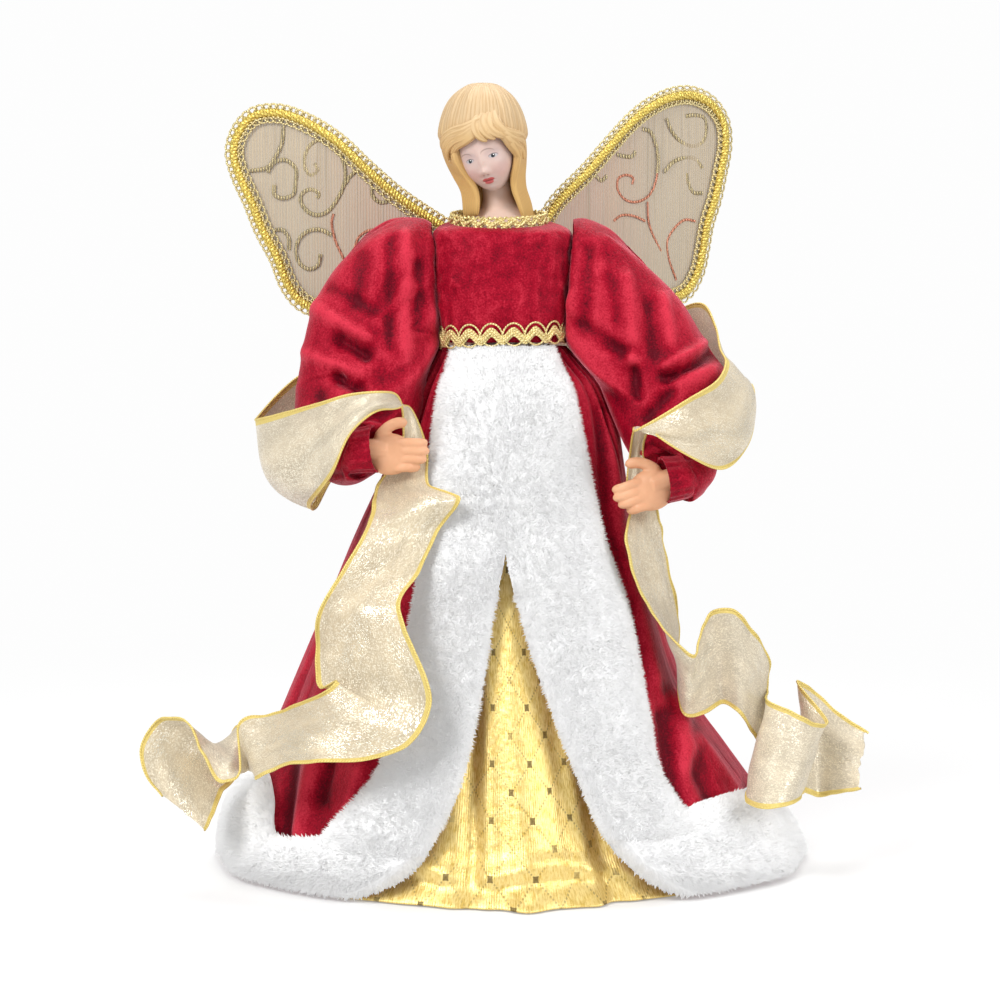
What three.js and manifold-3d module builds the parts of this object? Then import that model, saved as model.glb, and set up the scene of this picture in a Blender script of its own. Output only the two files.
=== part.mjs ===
// Angel tree topper: a cloth figure on a card cone, with wire framed wings and wire arms.
// Millimetres, +Z up, the face looks to -Y, and left is the viewer's left (-X).
import * as THREE from "three";
import { LoftGeometry } from "three/addons/geometries/LoftGeometry.js";
import { mergeVertices } from "three/addons/utils/BufferGeometryUtils.js";
import Module from "manifold-3d";

const wasm = await Module();
wasm.setup();

// Clearance between pieces that touch
const fit = 0.4;

// Card cone that slips over the tree's top shoot
const coneHeight = 206;
const coneBaseRadius = 80;
const coneTopRadius = 15.5;
const coneWall = 1.6;

// Foam torso, its plug in the cone and its spigot for the bust
const bodyShift = -3;
const torsoWaistWidth = 42;
const torsoChestWidth = 52;
const torsoWaistDepth = 34;
const torsoChestDepth = 38;
const torsoHeight = 41;
const torsoPlugRadius = 10;
const torsoPlugLength = 8;
const spigotRadius = 4;
const spigotLength = 9;
const squareness = 2.8;

// Velvet bodice and the two gold trims
const clothWall = 1;
const bodiceHeight = 47;
const necklineTilt = 3;
const necklineWidth = 39;
const necklineDepth = 32;
const armholeRadius = 6;
const collarRadius = 2.1;
const collarInset = 0.8;
const waistBraidHeight = 11;
const waistBraidDepth = 1.8;

// Gold underskirt
const underskirtEase = 5;
const underskirtLift = 1;
const underskirtWall = 1;
const underskirtFold = 3.5;
const underskirtFolds = 7;

// Velvet coat and its fur
const coatWall = 1.2;
const coatLift = 3;
const coatFold = 5;
const coatFolds = 9;
const furDepth = 7;
const furGap = 0.8;
const furSwell = [[0, 0.5], [0.2, 0.9], [0.5, 1], [0.8, 0.9], [1, 0.4]];
const furLift = 1.6;
const hemFurHeight = 29;
const hemFurSlant = 4;

// How far the coat stands out from the underskirt, by share of the waist height
const coatShares = [0, 0.05, 0.13, 0.22, 0.32, 0.51, 0.65, 0.83, 0.92, 0.96, 1];
const flareRight = [28, 25, 20, 13, 6, 5, 7, 11, 9, 2.6, 2.2];
const flareLeft = [26, 26, 26, 23, 20, 16, 13, 6, 4, 2.6, 2.2];
const flareFront = [1.6, 3, 5, 5.5, 5.8, 5.6, 6.3, 6.7, 5.5, 2.6, 2.2];
const flareBack = [9, 9, 9, 8.5, 8, 8, 9, 9, 7, 2.6, 2.2];

// Half of the front opening and the outer edge of the fur, in mm from the middle
const openingLeft = [53, 34, 20, 13, 9, 4, 0.5, 0.5, 0.5, 0.5, 0.5];
const openingRight = [58, 43, 31, 22, 15, 5, 0.5, 0.5, 0.5, 0.5, 0.5];
const furEdgeLeft = [54, 52, 50, 46, 41, 35, 30, 26, 23, 20, 19];
const furEdgeRight = [70, 68, 65, 60, 55, 45, 36, 29, 25, 21, 19];

// Arms: wire, filling, sleeve and hand
const shoulderRise = 36.6;
const armWireRadius = 0.9;
const armStub = 14;
const sleeveWall = 1.2;
const fillingFullness = 0.66;
const leftArm = [[0, 0, 0], [5, 0, 0], [13, 0, -5], [28, 1, -25], [31, -7, -54], [35, -23, -70], [33, -35, -75], [28, -41, -77]];
const rightArm = [[0, 0, 0], [5, 0, 0], [13, 0, -4], [28, 1, -24], [37, -4, -50], [42, -18, -73], [45, -29, -83], [41, -35, -87]];
const leftPuff = [15, 18, 22, 25, 25, 19, 13, 10];
const rightPuff = [15, 18, 22, 24, 21, 17, 12, 10];
const palmLength = 19;
const palmHeight = 18;
const palmDepth = 9;
const wristRadius = 4.6;
const fingerRadius = 2;
const handReach = 4;

// Places on the hand, from its wrist: towards the fingers, to the back, up
const palmCentre = [9, 0, -1.5];
const wristEnds = [[-5, 0, 0], [5, 0, 0]];
const knuckles = [11, -0.6, 3];
const fingerReaches = [26, 26.5, 25, 22];
const fingerBend = [6, 1.4, 0.4];
const fingerPitch = 3.5;
const thumb = [[5, 0.4, 5], [10, 0.6, 9.6], [15, 0.9, 10.4]];
const thumbRadius = 2.2;
const rightHandDrop = 18;

// Wings: wire loop, sheer panel and braid, hung in a stitched casing
const wingWireRadius = 0.8;
const wingPanelDepth = 0.8;
const wingBraidWidth = 8;
const wingBraidDepth = 1.8;
const wingRise = 30;
const wingSpread = 8;
const casingHeight = 15;
const casingDepth = 4.2;
const casingMargin = 2.2;
const leftWingSweep = 12;
const rightWingSweep = 36;
const leftWingLine = [
  [9, 12.5], [20, 19], [35, 29], [48, 40], [60, 51], [73, 59], [85, 63], [95, 62], [101, 56.5], [104, 48],
  [102, 39], [96.5, 27], [92, 16], [85.5, 4], [81, -7], [75, -14], [66, -17], [52, -16], [30, -14], [9, -12],
];
const rightWingLine = [
  [8.5, 15.5], [16, 25.5], [32, 39], [44, 50.3], [56, 61], [65.5, 67.2], [76, 71.5], [87, 73], [98, 69.8], [105, 62.3],
  [106.2, 53], [103.5, 41], [100.5, 30], [96.5, 20], [94, 9], [91.5, 0], [85.5, -8.5], [76, -12], [45, -11.6],
  [9.3, -11.8],
];

// Bust: shoulder plate, neck, face and moulded hair
const shoulderPlateWidth = 31;
const shoulderPlateDepth = 25;
const shoulderPlateRise = 13;
const neckRadius = 6.4;
const faceWidth = 22;
const faceDepth = 26;
const faceHeight = 33;
const hairWidth = 35;
const hairDepth = 34;
const hairHeight = 39;
const lockRadius = 5.5;

// Places on the bust, from the middle of the shoulder plate's base
const neckFoot = [-1, 1, 6];
const neckTop = [-4, -2, 24];
const faceCentre = [-6.5, -9, 31.5];
const hairCentre = [-7.5, 1, 41.2];
const leftLock = [[-19, 2, 35], [-11, 1, 19]];
const rightLock = [[5, 2, 35], [5, 1, 20]];
const lockFlick = [[6, 0, 20], [11, -1, 18]];
const flickRadius = 3;

// Ribbon: one wired strip, drawn as the two edges of each station
const ribbonDepth = 0.8;

// Half width and height of the shoulders that the ribbon's points are drawn for
const ribbonShoulder = [27.8, 243];
const ribbonBack = [
  [[-57.4, 40.3, 206], [-54, 42.4, 166]], [[-38, 46, 211], [-38, 50, 172]], [[0, 50, 212], [0, 55, 173]],
  [[36, 47, 214], [38, 52, 177]], [[57.4, 40.3, 215], [57.4, 46.2, 178]],
];
const ribbonLeft = [
  [[-58, 40, 206], [-54.6, 42, 166]], [[-85, 30, 193], [-70, 27, 154]], [[-100, 4, 177], [-77, 2, 141]],
  [[-97, -16, 177], [-77, -24, 145]], [[-72, -48, 182], [-62, -54, 166]], [[-49, -58, 183], [-44, -42, 189]],
  [[-41, -36, 178], [-38, -28, 180]], [[-42, -33, 165], [-32, -33, 166]], [[-51, -37, 152], [-34, -40, 152]],
  [[-52, -48, 144], [-25, -52, 146]], [[-55, -62, 135], [-27, -52, 137]], [[-62, -70, 123], [-34, -60, 122]],
  [[-71, -72, 107], [-41, -78, 111]], [[-72, -66, 93], [-36, -84, 97]], [[-71, -70, 80], [-29, -90, 78]],
  [[-64, -78, 83], [-36, -92, 63]], [[-67, -79, 80], [-52, -89, 56]], [[-78, -64, 73], [-71, -88, 55]],
  [[-90, -52, 67], [-84, -80, 52]], [[-103, -48, 64], [-93, -76, 47]], [[-103, -64, 53], [-101, -38, 46]],
  [[-111, -68, 45], [-105, -38, 46]], [[-121, -54, 60], [-104, -32, 41]], [[-134, -44, 61], [-107, -34, 36]],
  [[-142, -42, 51], [-111, -46, 32]], [[-138, -46, 38], [-114, -54, 24]], [[-131, -50, 30], [-116, -60, 20]],
];
const ribbonRight = [
  [[58, 40, 215], [58, 46, 178]], [[77, 27, 222], [75, 40, 184]], [[84, 14, 213], [87, 26, 174]],
  [[86, 3, 204], [97, 30, 189]], [[86, -12, 199], [97, 4, 180]], [[79, -31, 192], [92, -19, 167]],
  [[66, -48, 185], [80, -42, 159]], [[54, -54, 178], [66, -54, 165]], [[47, -52, 174], [55, -55, 172]],
  [[47, -38, 174], [53, -38, 175]], [[46, -26, 163], [51, -27, 165]], [[45, -26, 152], [54, -26, 152]],
  [[46, -28, 142], [57, -26, 141]], [[44, -42, 134], [59, -22, 130]], [[47, -44, 118], [64, -18, 110]],
  [[54, -42, 104], [69, -10, 96]], [[62, -40, 94], [72, -4, 83]], [[71, -36, 87], [77, -8, 66]],
  [[73, -34, 96], [79, -18, 66]], [[77, -38, 104], [82, -32, 68]], [[85, -40, 105], [88, -38, 65]],
  [[93, -34, 96], [93, -32, 57]], [[100, -24, 85], [97, -28, 50]], [[100, -22, 72], [93, -38, 40]],
  [[99, -32, 69], [89, -52, 34]], [[107, -40, 66], [95, -63, 33]], [[117, -38, 61], [105, -60, 34]],
  [[123, -26, 60], [112, -40, 34]], [[113, -8, 73], [115, -24, 32]], [[122, 2, 67], [121, -18, 29]],
  [[131, -2, 59], [127, -22, 31]], [[142, -6, 52], [136, -28, 34]],
];

// Heights that follow from the sizes above
const torsoBase = coneHeight + fit;
const torsoTop = torsoBase + torsoHeight;
const waistHeight = coneHeight - fit;
const shoulderHeight = torsoBase + shoulderRise;
const skinGap = fit + clothWall;
const bodiceHalfWidth = torsoChestWidth / 2 + skinGap;
const bodiceHalfDepth = torsoChestDepth / 2 + skinGap;

const colours = {
  velvet: 0xa80c2a, gold: 0xc9a23c, braid: 0xd2b04a, fur: 0xf1f1ef, ribbon: 0xd9c9a0, wing: 0xc4a988,
  skin: 0xe6b596, hair: 0xd3ad74, card: 0xb89b74, foam: 0xe9e6dd, wire: 0x9a9da0, filling: 0xf4f2ec,
};
const materials = Object.fromEntries(
  Object.entries(colours).map(([name, color]) => [name, new THREE.MeshStandardMaterial({ color })]),
);

const at = (point) => new THREE.Vector3(...point);
const turn = (degrees) => THREE.MathUtils.degToRad(degrees);
const mix = THREE.MathUtils.lerp;

// Value at a place between the values given at set places
function along(places, values, place) {
  const next = places.findIndex((x) => x > place);
  if (next === 0) return values[0];
  if (next === -1) return values[values.length - 1];
  const share = (place - places[next - 1]) / (places[next] - places[next - 1]);
  return mix(values[next - 1], values[next], share);
}

function mesh(name, geometry, material) {
  const made = new THREE.Mesh(geometry, material);
  made.name = name;
  return made;
}

// Skin through sections, with the sections turned so that the faces point out
function loft(sections, closedLoop = false) {
  const middle = (ring) => ring.reduce((sum, p) => sum.add(p), new THREE.Vector3()).divideScalar(ring.length);
  const facing = new THREE.Vector3();
  sections[0].forEach((p, i, ring) => facing.add(p.clone().cross(ring[(i + 1) % ring.length])));
  const onward = middle(sections[1]).sub(middle(sections[0]));
  const rings = facing.dot(onward) > 0 ? sections : sections.map((ring) => [...ring].reverse());
  const caps = !closedLoop;
  return new LoftGeometry(closedLoop ? [...rings, rings[0]] : rings, { capStart: caps, capEnd: caps });
}

function solid(geometry) {
  const plain = geometry.index ? geometry.toNonIndexed() : geometry;
  const bare = new THREE.BufferGeometry().setAttribute("position", plain.getAttribute("position"));
  const merged = mergeVertices(bare, 1e-3);
  const triVerts = new Uint32Array(merged.index.array);
  return new wasm.Manifold(
    new wasm.Mesh({ numProp: 3, vertProperties: merged.attributes.position.array, triVerts }),
  );
}

function geometryOf(body) {
  const data = body.getMesh();
  return new THREE.BufferGeometry()
    .setAttribute("position", new THREE.BufferAttribute(data.vertProperties, 3))
    .setIndex(new THREE.BufferAttribute(data.triVerts, 1));
}

function ball(centre, radii, columns = 16, rows = 11) {
  const shape = new THREE.SphereGeometry(1, columns, rows).rotateX(Math.PI / 2);
  return solid(shape.scale(...radii).translate(...centre));
}

// Rounded bar between two points
function bar(from, to, radius, columns = 8) {
  const start = at(from);
  const line = at(to).sub(start);
  const shape = new THREE.CapsuleGeometry(radius, line.length(), 2, columns);
  const lean = new THREE.Quaternion().setFromUnitVectors(new THREE.Vector3(0, 1, 0), line.clone().normalize());
  const middle = start.addScaledVector(line, 0.5);
  return solid(shape.applyQuaternion(lean).translate(middle.x, middle.y, middle.z));
}

function roundBar(radius, length, columns = 20) {
  return new THREE.CylinderGeometry(radius, radius, length, columns);
}

// Squared oval ring about the body line
function oval(halfWidth, halfDepth, height, columns, tilt = 0, power = squareness) {
  return Array.from({ length: columns }, (_, i) => {
    const angle = (2 * Math.PI * i) / columns;
    const c = Math.cos(angle);
    const s = Math.sin(angle);
    const x = Math.sign(c) * Math.abs(c) ** (2 / power) * halfWidth;
    const y = Math.sign(s) * Math.abs(s) ** (2 / power) * halfDepth;
    return new THREE.Vector3(bodyShift + x, y, height + (tilt * y) / halfDepth);
  });
}

// Frames along a curve that never twist, one per place
function frames(curve, places) {
  let up = new THREE.Vector3(0, 0, 1);
  return places.map((place) => {
    const point = curve.getPoint(place);
    const ahead = curve.getTangent(place);
    up = up.clone().addScaledVector(ahead, -up.dot(ahead)).normalize();
    return { point, up, side: ahead.clone().cross(up) };
  });
}

function ringAt(frame, radius, columns) {
  return Array.from({ length: columns }, (_, i) => {
    const angle = (2 * Math.PI * i) / columns;
    const size = typeof radius === "function" ? radius(angle) : radius;
    return frame.point
      .clone()
      .addScaledVector(frame.side, Math.cos(angle) * size)
      .addScaledVector(frame.up, Math.sin(angle) * size);
  });
}

const steps = (count, from = 0, to = 1) =>
  Array.from({ length: count + 1 }, (_, i) => mix(from, to, i / count));

function wireAlong(curve, radius, count, columns) {
  return loft(frames(curve, steps(count)).map((frame) => ringAt(frame, radius, columns)));
}

// Card cone, open at both ends
function makeCone() {
  const slope = Math.hypot(coneHeight, coneBaseRadius - coneTopRadius) / coneHeight;
  const inset = coneWall * slope;
  const profile = [
    [coneBaseRadius - inset, 0], [coneBaseRadius, 0], [coneTopRadius, coneHeight],
    [coneTopRadius - inset, coneHeight], [coneBaseRadius - inset, 0],
  ];
  const points = profile.map(([r, z]) => new THREE.Vector2(r, z));
  return mesh("core_cone", new THREE.LatheGeometry(points, 48).rotateX(Math.PI / 2), materials.card);
}

// Foam torso with a plug below, a spigot above and one cross bore for the arm wires
function makeTorso() {
  const halfWaist = torsoWaistWidth / 2;
  const halfChest = torsoChestWidth / 2;
  const levels = [
    [0, halfWaist, torsoWaistDepth / 2],
    [torsoHeight * 0.34, mix(halfWaist, halfChest, 0.55), mix(torsoWaistDepth, torsoChestDepth, 0.75) / 2],
    [torsoHeight * 0.72, halfChest, torsoChestDepth / 2],
    [torsoHeight * 0.9, halfChest - 0.4, torsoChestDepth / 2 - 0.8],
    [torsoHeight, halfChest - 4, torsoChestDepth / 2 - 2.6],
  ];
  const block = solid(loft(levels.map(([rise, w, d]) => oval(w, d, torsoBase + rise, 24))));
  const plug = roundBar(torsoPlugRadius, torsoPlugLength + 2).rotateX(Math.PI / 2);
  plug.translate(bodyShift, 0, torsoBase + 1 - torsoPlugLength / 2);
  const spigot = roundBar(spigotRadius, spigotLength + 2, 16).rotateX(Math.PI / 2);
  spigot.translate(bodyShift, 0, torsoTop - 1 + spigotLength / 2);
  const bore = roundBar(armWireRadius + fit, 2 * torsoChestWidth, 12).rotateZ(Math.PI / 2);
  bore.translate(bodyShift, 0, shoulderHeight);
  const body = block.add(solid(plug)).add(solid(spigot)).subtract(solid(bore));
  return mesh("torso_block", geometryOf(body), materials.foam);
}

// Velvet bodice with two armholes
function makeBodice() {
  const waist = [torsoWaistWidth / 2 + skinGap, torsoWaistDepth / 2 + skinGap];
  const neck = [necklineWidth / 2 + clothWall, necklineDepth / 2 + clothWall];
  const levels = [
    [0, waist[0], waist[1], 0],
    [0.3, mix(waist[0], bodiceHalfWidth, 0.6), mix(waist[1], bodiceHalfDepth, 0.8), 0],
    [0.63, bodiceHalfWidth, bodiceHalfDepth, 0],
    [0.82, bodiceHalfWidth - 0.2, bodiceHalfDepth - 0.6, 0],
    [0.93, mix(neck[0], bodiceHalfWidth, 0.55), mix(neck[1], bodiceHalfDepth, 0.4), necklineTilt / 2],
    [1, neck[0], neck[1], necklineTilt],
  ];
  const ring = (inset) => ([share, w, d, tilt]) =>
    oval(w - inset, d - inset, torsoBase + share * bodiceHeight, 26, tilt);
  const shell = solid(loft([...levels.map(ring(0)), ...levels.map(ring(clothWall)).reverse()], true));
  const armhole = roundBar(armholeRadius, 2 * torsoChestWidth).rotateZ(Math.PI / 2);
  armhole.translate(bodyShift, 0, shoulderHeight);
  return mesh("bodice", geometryOf(shell.subtract(solid(armhole))), materials.velvet);
}

// Gold braid round the neckline
function makeCollar() {
  const halfWidth = necklineWidth / 2 - collarInset;
  const halfDepth = necklineDepth / 2 - collarInset;
  const height = torsoBase + bodiceHeight + collarRadius + fit;
  const rings = steps(35, 0, 35 / 36).map((share) => {
    const angle = 2 * Math.PI * share;
    const out = new THREE.Vector3(Math.cos(angle), Math.sin(angle), 0);
    const z = height + necklineTilt * Math.sin(angle);
    const centre = new THREE.Vector3(bodyShift + halfWidth * out.x, halfDepth * out.y, z);
    return ringAt({ point: centre, up: new THREE.Vector3(0, 0, 1), side: out }, collarRadius, 7);
  });
  return mesh("collar_braid", loft(rings, true), materials.braid);
}

// Gold braid over the waist seam
function makeWaistBraid() {
  const halfWidth = torsoWaistWidth / 2 + skinGap + 2 * fit + 1.4;
  const halfDepth = torsoWaistDepth / 2 + skinGap + 2 * fit + 2.4;
  const low = waistHeight - 3;
  const ring = (out, z) => oval(halfWidth + out, halfDepth + out, z, 36);
  const middle = low + waistBraidHeight / 2;
  const high = low + waistBraidHeight;
  const rings = [ring(waistBraidDepth / 2, high), ring(waistBraidDepth, middle), ring(waistBraidDepth / 2, low),
    ring(0, low), ring(0, high)];
  return mesh("waist_braid", loft(rings, true), materials.braid);
}

// Underskirt half sizes at a height
function underskirtSize(z) {
  const share = z / waistHeight;
  const hem = coneBaseRadius + underskirtEase;
  const width = mix(hem, torsoWaistWidth / 2, share);
  const depth = mix(hem, torsoWaistDepth / 2 + 2 * fit, share);
  return [width, depth, bodyShift * share];
}

// Point of the underskirt, the angle counted from the front towards the right
function underskirtPoint(angle, z, inset) {
  const [width, depth, shift] = underskirtSize(z);
  const fold = underskirtFold * (1 - z / waistHeight) * (0.5 + 0.5 * Math.cos(underskirtFolds * angle));
  const x = shift + Math.sin(angle) * (width + fold - inset);
  return new THREE.Vector3(x, -Math.cos(angle) * (depth + fold - inset), z);
}

function makeUnderskirt() {
  const heights = steps(5, underskirtLift, waistHeight - fit);
  const ring = (inset) => (z) =>
    steps(47, 0, 47 / 48).map((share) => underskirtPoint(2 * Math.PI * share, z, inset));
  const rings = [...heights.map(ring(0)), ...heights.map(ring(underskirtWall)).reverse()];
  return mesh("underskirt", loft(rings, true), materials.gold);
}

// Point at a distance out from the coat's own surface
function coatPoint(angle, z, out) {
  const share = z / waistHeight;
  const [width, depth, shift] = underskirtSize(z);
  const s = Math.sin(angle);
  const c = Math.cos(angle);
  const away = THREE.MathUtils.smoothstep(Math.abs(Math.sin(angle / 2)), 0.35, 0.75);
  const fold = coatFold * (1 - share) * away * (0.5 - 0.5 * Math.cos(coatFolds * angle));
  const halfWidth = width + along(coatShares, s > 0 ? flareRight : flareLeft, share);
  const halfDepth = depth + along(coatShares, c > 0 ? flareFront : flareBack, share);
  const x = shift + s * (halfWidth + fold + out);
  return new THREE.Vector3(x, -c * (halfDepth + fold + out), z);
}

// Angle at which the coat's surface is a distance from the middle
function coatAngle(reaches, z, flare) {
  const share = z / waistHeight;
  const reach = along(coatShares, reaches, share);
  return Math.asin(Math.min(0.97, reach / (underskirtSize(z)[0] + along(coatShares, flare, share))));
}

const rightEdge = (z) => coatAngle(openingRight, z, flareRight);
const leftEdge = (z) => 2 * Math.PI - coatAngle(openingLeft, z, flareLeft);
const coatHeights = coatShares.map((share) =>
  THREE.MathUtils.clamp(share * waistHeight, coatLift, waistHeight - fit),
);

function makeCoat() {
  const sections = steps(44).map((turnShare) => {
    const column = (out) => (z) => coatPoint(mix(rightEdge(z), leftEdge(z), turnShare), z, out);
    return [...coatHeights.map(column(0)), ...coatHeights.map(column(-coatWall)).reverse()];
  });
  return mesh("coat", loft(sections), materials.velvet);
}

// Fur down one front edge of the coat
function makeFrontFur(name, edge, reaches, flare, side) {
  const top = 0.96 * waistHeight;
  const low = hemFurTop(side * 0.5) + fit;
  const heights = [low, ...coatHeights.filter((z) => z > low + 4 && z < top - 1), top];
  const sections = heights.map((z) => {
    const across = (place, out) => {
      const outer = side * coatAngle(reaches, z, flare);
      const inner = side > 0 ? edge(z) : edge(z) - 2 * Math.PI;
      return coatPoint(mix(inner, outer, place), z, out);
    };
    return [
      ...furSwell.map(([place, height]) => across(place, furGap + furDepth * height)),
      ...steps(5).map((place) => across(1 - place, furGap)),
    ];
  });
  return mesh(name, loft(sections), materials.fur);
}

// Height of the hem fur's top, lower on the right
function hemFurTop(angle) {
  return hemFurHeight - hemFurSlant * Math.sin(angle);
}

function makeHemFur() {
  const sections = steps(44).map((turnShare) => {
    const place = (share, out) => {
      const about = mix(rightEdge(hemFurHeight), leftEdge(hemFurHeight), turnShare);
      const side = turnShare < 0.5 ? 1 : -1;
      const blend = THREE.MathUtils.smoothstep(Math.abs(turnShare - 0.5), 0.38, 0.46);
      const high = mix(hemFurTop(about), hemFurTop(side * 0.5), blend);
      const z = mix(furLift, high, share);
      return coatPoint(mix(rightEdge(z), leftEdge(z), turnShare), z, out);
    };
    return [
      ...furSwell.map(([share, height]) => place(share, furGap + furDepth * height)),
      ...steps(3).map((share) => place(1 - share, furGap)),
    ];
  });
  return mesh("hem_fur", loft(sections), materials.fur);
}

// One arm: the wire turns in the torso's bore and carries filling, sleeve and hand
function makeArm(name, side, path, puff, drop) {
  const shoulder = [bodyShift + side * (bodiceHalfWidth + fit), 0, shoulderHeight];
  const place = ([out, y, z]) => new THREE.Vector3(shoulder[0] + side * out, shoulder[1] + y, shoulder[2] + z);
  const points = path.map(place);
  const curve = new THREE.CatmullRomCurve3(points);
  const radiusAt = (t) => along(puff.map((_, i) => i / (puff.length - 1)), puff, t);
  const crease = (t, angle) => 1 + 0.05 * Math.sin(Math.PI * t) * Math.cos(4 * angle + 9 * t);

  const lean = new THREE.Matrix4().makeRotationY(turn(drop));
  const inward = new THREE.Vector3(-side, 0, 0).applyMatrix4(lean);
  const wrist = points[points.length - 1].clone().addScaledVector(inward, handReach);
  const inHand = wrist.clone().addScaledVector(inward, 6);
  const stub = new THREE.Vector3(bodyShift + side * armStub, 0, shoulderHeight);
  const wireCurve = new THREE.CatmullRomCurve3([stub, place([-6, 0, 0]), ...points, inHand]);
  const wire = wireAlong(wireCurve, armWireRadius, 30, 6);
  const wireRoom = solid(wireAlong(wireCurve, armWireRadius + fit, 30, 8));

  const shell = (inset, fullness = 1) => (frame, i, all) => {
    const t = i / (all.length - 1);
    return ringAt(frame, (angle) => (radiusAt(t) - inset) * fullness * crease(t, angle), 16);
  };
  const rows = frames(curve, steps(12));
  const sleeve = loft([...rows.map(shell(0)), ...rows.map(shell(sleeveWall)).reverse()], true);
  const filling = loft(rows.map(shell(sleeveWall, fillingFullness)).slice(1, 11));

  const hand = solid(makeHand(side).applyMatrix4(lean).translate(wrist.x, wrist.y, wrist.z));
  const arm = new THREE.Group();
  arm.add(
    mesh(name + "_arm_wire", wire, materials.wire),
    mesh(name + "_arm_filling", geometryOf(solid(filling).subtract(wireRoom)), materials.filling),
    mesh(name + "_sleeve", sleeve, materials.velvet),
    mesh(name + "_hand", geometryOf(hand.subtract(wireRoom)), materials.skin),
  );
  return arm;
}

// Hand closed round the ribbon, fingers towards the middle, back of the hand to the front
function makeHand(side) {
  const spot = ([x, y, z]) => [-side * x, y, z];
  const [bend, back, tip] = fingerBend;
  let hand = bar(...wristEnds.map(spot), wristRadius, 10);
  hand = hand.add(ball(spot(palmCentre), [palmLength / 2, palmDepth / 2, palmHeight / 2], 10, 7));
  fingerReaches.forEach((reach, i) => {
    const z = knuckles[2] - fingerPitch * i;
    const joint = spot([reach - bend, -back, z]);
    hand = hand.add(bar(spot([knuckles[0], knuckles[1], z]), joint, fingerRadius, 6));
    hand = hand.add(bar(joint, spot([reach - fingerRadius, tip, z]), fingerRadius, 6));
  });
  const [root, middle, end] = thumb.map(spot);
  hand = hand.add(bar(root, middle, thumbRadius, 6)).add(bar(middle, end, thumbRadius, 6));
  return geometryOf(hand);
}

// Stitched casing on the bodice back, with one upright bore for each wing
function makeCasing() {
  const width = 2 * (wingSpread + casingMargin);
  const middle = bodiceHalfDepth + fit + casingDepth / 2;
  const height = torsoBase + wingRise;
  let casing = solid(new THREE.BoxGeometry(width, casingDepth, casingHeight).translate(bodyShift, middle, height));
  [-1, 1].forEach((side) => {
    const bore = roundBar(wingWireRadius + fit, 2 * casingHeight, 12).rotateX(Math.PI / 2);
    casing = casing.subtract(solid(bore.translate(bodyShift + side * wingSpread, middle, height)));
  });
  return mesh("wing_casing", geometryOf(casing), materials.velvet);
}

// One wing, drawn flat in its own plane and hung on its upright wire
function makeWing(name, side, sweep, line) {
  const outline = line.map(([u, w]) => new THREE.Vector3(u, 0, w));
  const reach = casingHeight / 2 + 0.5;
  const root = [-reach - 3, -reach, reach, reach + 3].map((w) => new THREE.Vector3(0, 0, w));
  const loop = new THREE.CatmullRomCurve3([...root, ...outline], true);

  const rings = steps(55, 0, 55 / 56).map((share) => {
    const ahead = loop.getTangent(share);
    const side3 = new THREE.Vector3(0, 1, 0);
    return ringAt({ point: loop.getPoint(share), up: side3, side: ahead.cross(side3) }, wingWireRadius, 5);
  });

  const rim = new THREE.CatmullRomCurve3(outline);
  const clear = wingWireRadius + fit;
  const inner = steps(56).map((share) => {
    const point = rim.getPoint(share);
    const ahead = rim.getTangent(share);
    return new THREE.Vector2(point.x + ahead.z * clear, point.z - ahead.x * clear);
  });
  const start = casingMargin + 2 * fit + 0.6;
  inner.push(new THREE.Vector2(start, -reach - 1.5), new THREE.Vector2(start, reach + 1.5));
  const panel = new THREE.ExtrudeGeometry(new THREE.Shape(inner), { depth: wingPanelDepth, bevelEnabled: false });
  panel.rotateX(Math.PI / 2).translate(0, wingPanelDepth / 2, 0);

  const front = -wingWireRadius - fit;
  const braid = steps(44).map((share) => {
    const point = rim.getPoint(share);
    const ahead = rim.getTangent(share);
    const across = new THREE.Vector3(-ahead.z, 0, ahead.x);
    const corner = (shift, y) => point.clone().addScaledVector(across, shift).setY(y);
    const half = wingBraidWidth / 2;
    return [corner(-half, front), corner(half, front), corner(half * 0.8, front - wingBraidDepth),
      corner(-half * 0.8, front - wingBraidDepth)];
  });

  const wing = new THREE.Group();
  wing.add(
    mesh(name + "_wing_panel", panel, materials.wing),
    mesh(name + "_wing_wire", loft(rings, true), materials.wire),
    mesh(name + "_wing_braid", loft(braid), materials.braid),
  );
  wing.scale.x = side;
  wing.rotation.z = side * turn(sweep);
  const depth = bodiceHalfDepth + fit + casingDepth / 2;
  wing.position.set(bodyShift + side * wingSpread, depth, torsoBase + wingRise);
  return wing;
}

// Bust: shoulder plate, neck, face and moulded hair in one moulding
function makeBust() {
  const base = torsoTop + fit;
  const spot = ([x, y, z]) => [bodyShift + x, y, base + z];
  const lock = ([from, to], radius) => bar(spot(from), spot(to), radius, 10);
  const plate = [shoulderPlateWidth / 2, shoulderPlateDepth / 2, shoulderPlateRise];
  const bust = ball([bodyShift, 0, base], plate, 20, 12)
    .add(lock([neckFoot, neckTop], neckRadius))
    .add(ball(spot(faceCentre), [faceWidth / 2, faceDepth / 2, faceHeight / 2], 18, 12))
    .add(ball(spot(hairCentre), [hairWidth / 2, hairDepth / 2, hairHeight / 2], 20, 13))
    .add(lock(leftLock, lockRadius))
    .add(lock(rightLock, lockRadius))
    .add(lock(lockFlick, flickRadius))
    .trimByPlane([0, 0, 1], base);
  const socket = roundBar(spigotRadius + fit, 2 * (spigotLength + fit), 16).rotateX(Math.PI / 2);
  return mesh("bust", geometryOf(bust.subtract(solid(socket.translate(bodyShift, 0, base)))), materials.skin);
}

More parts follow.
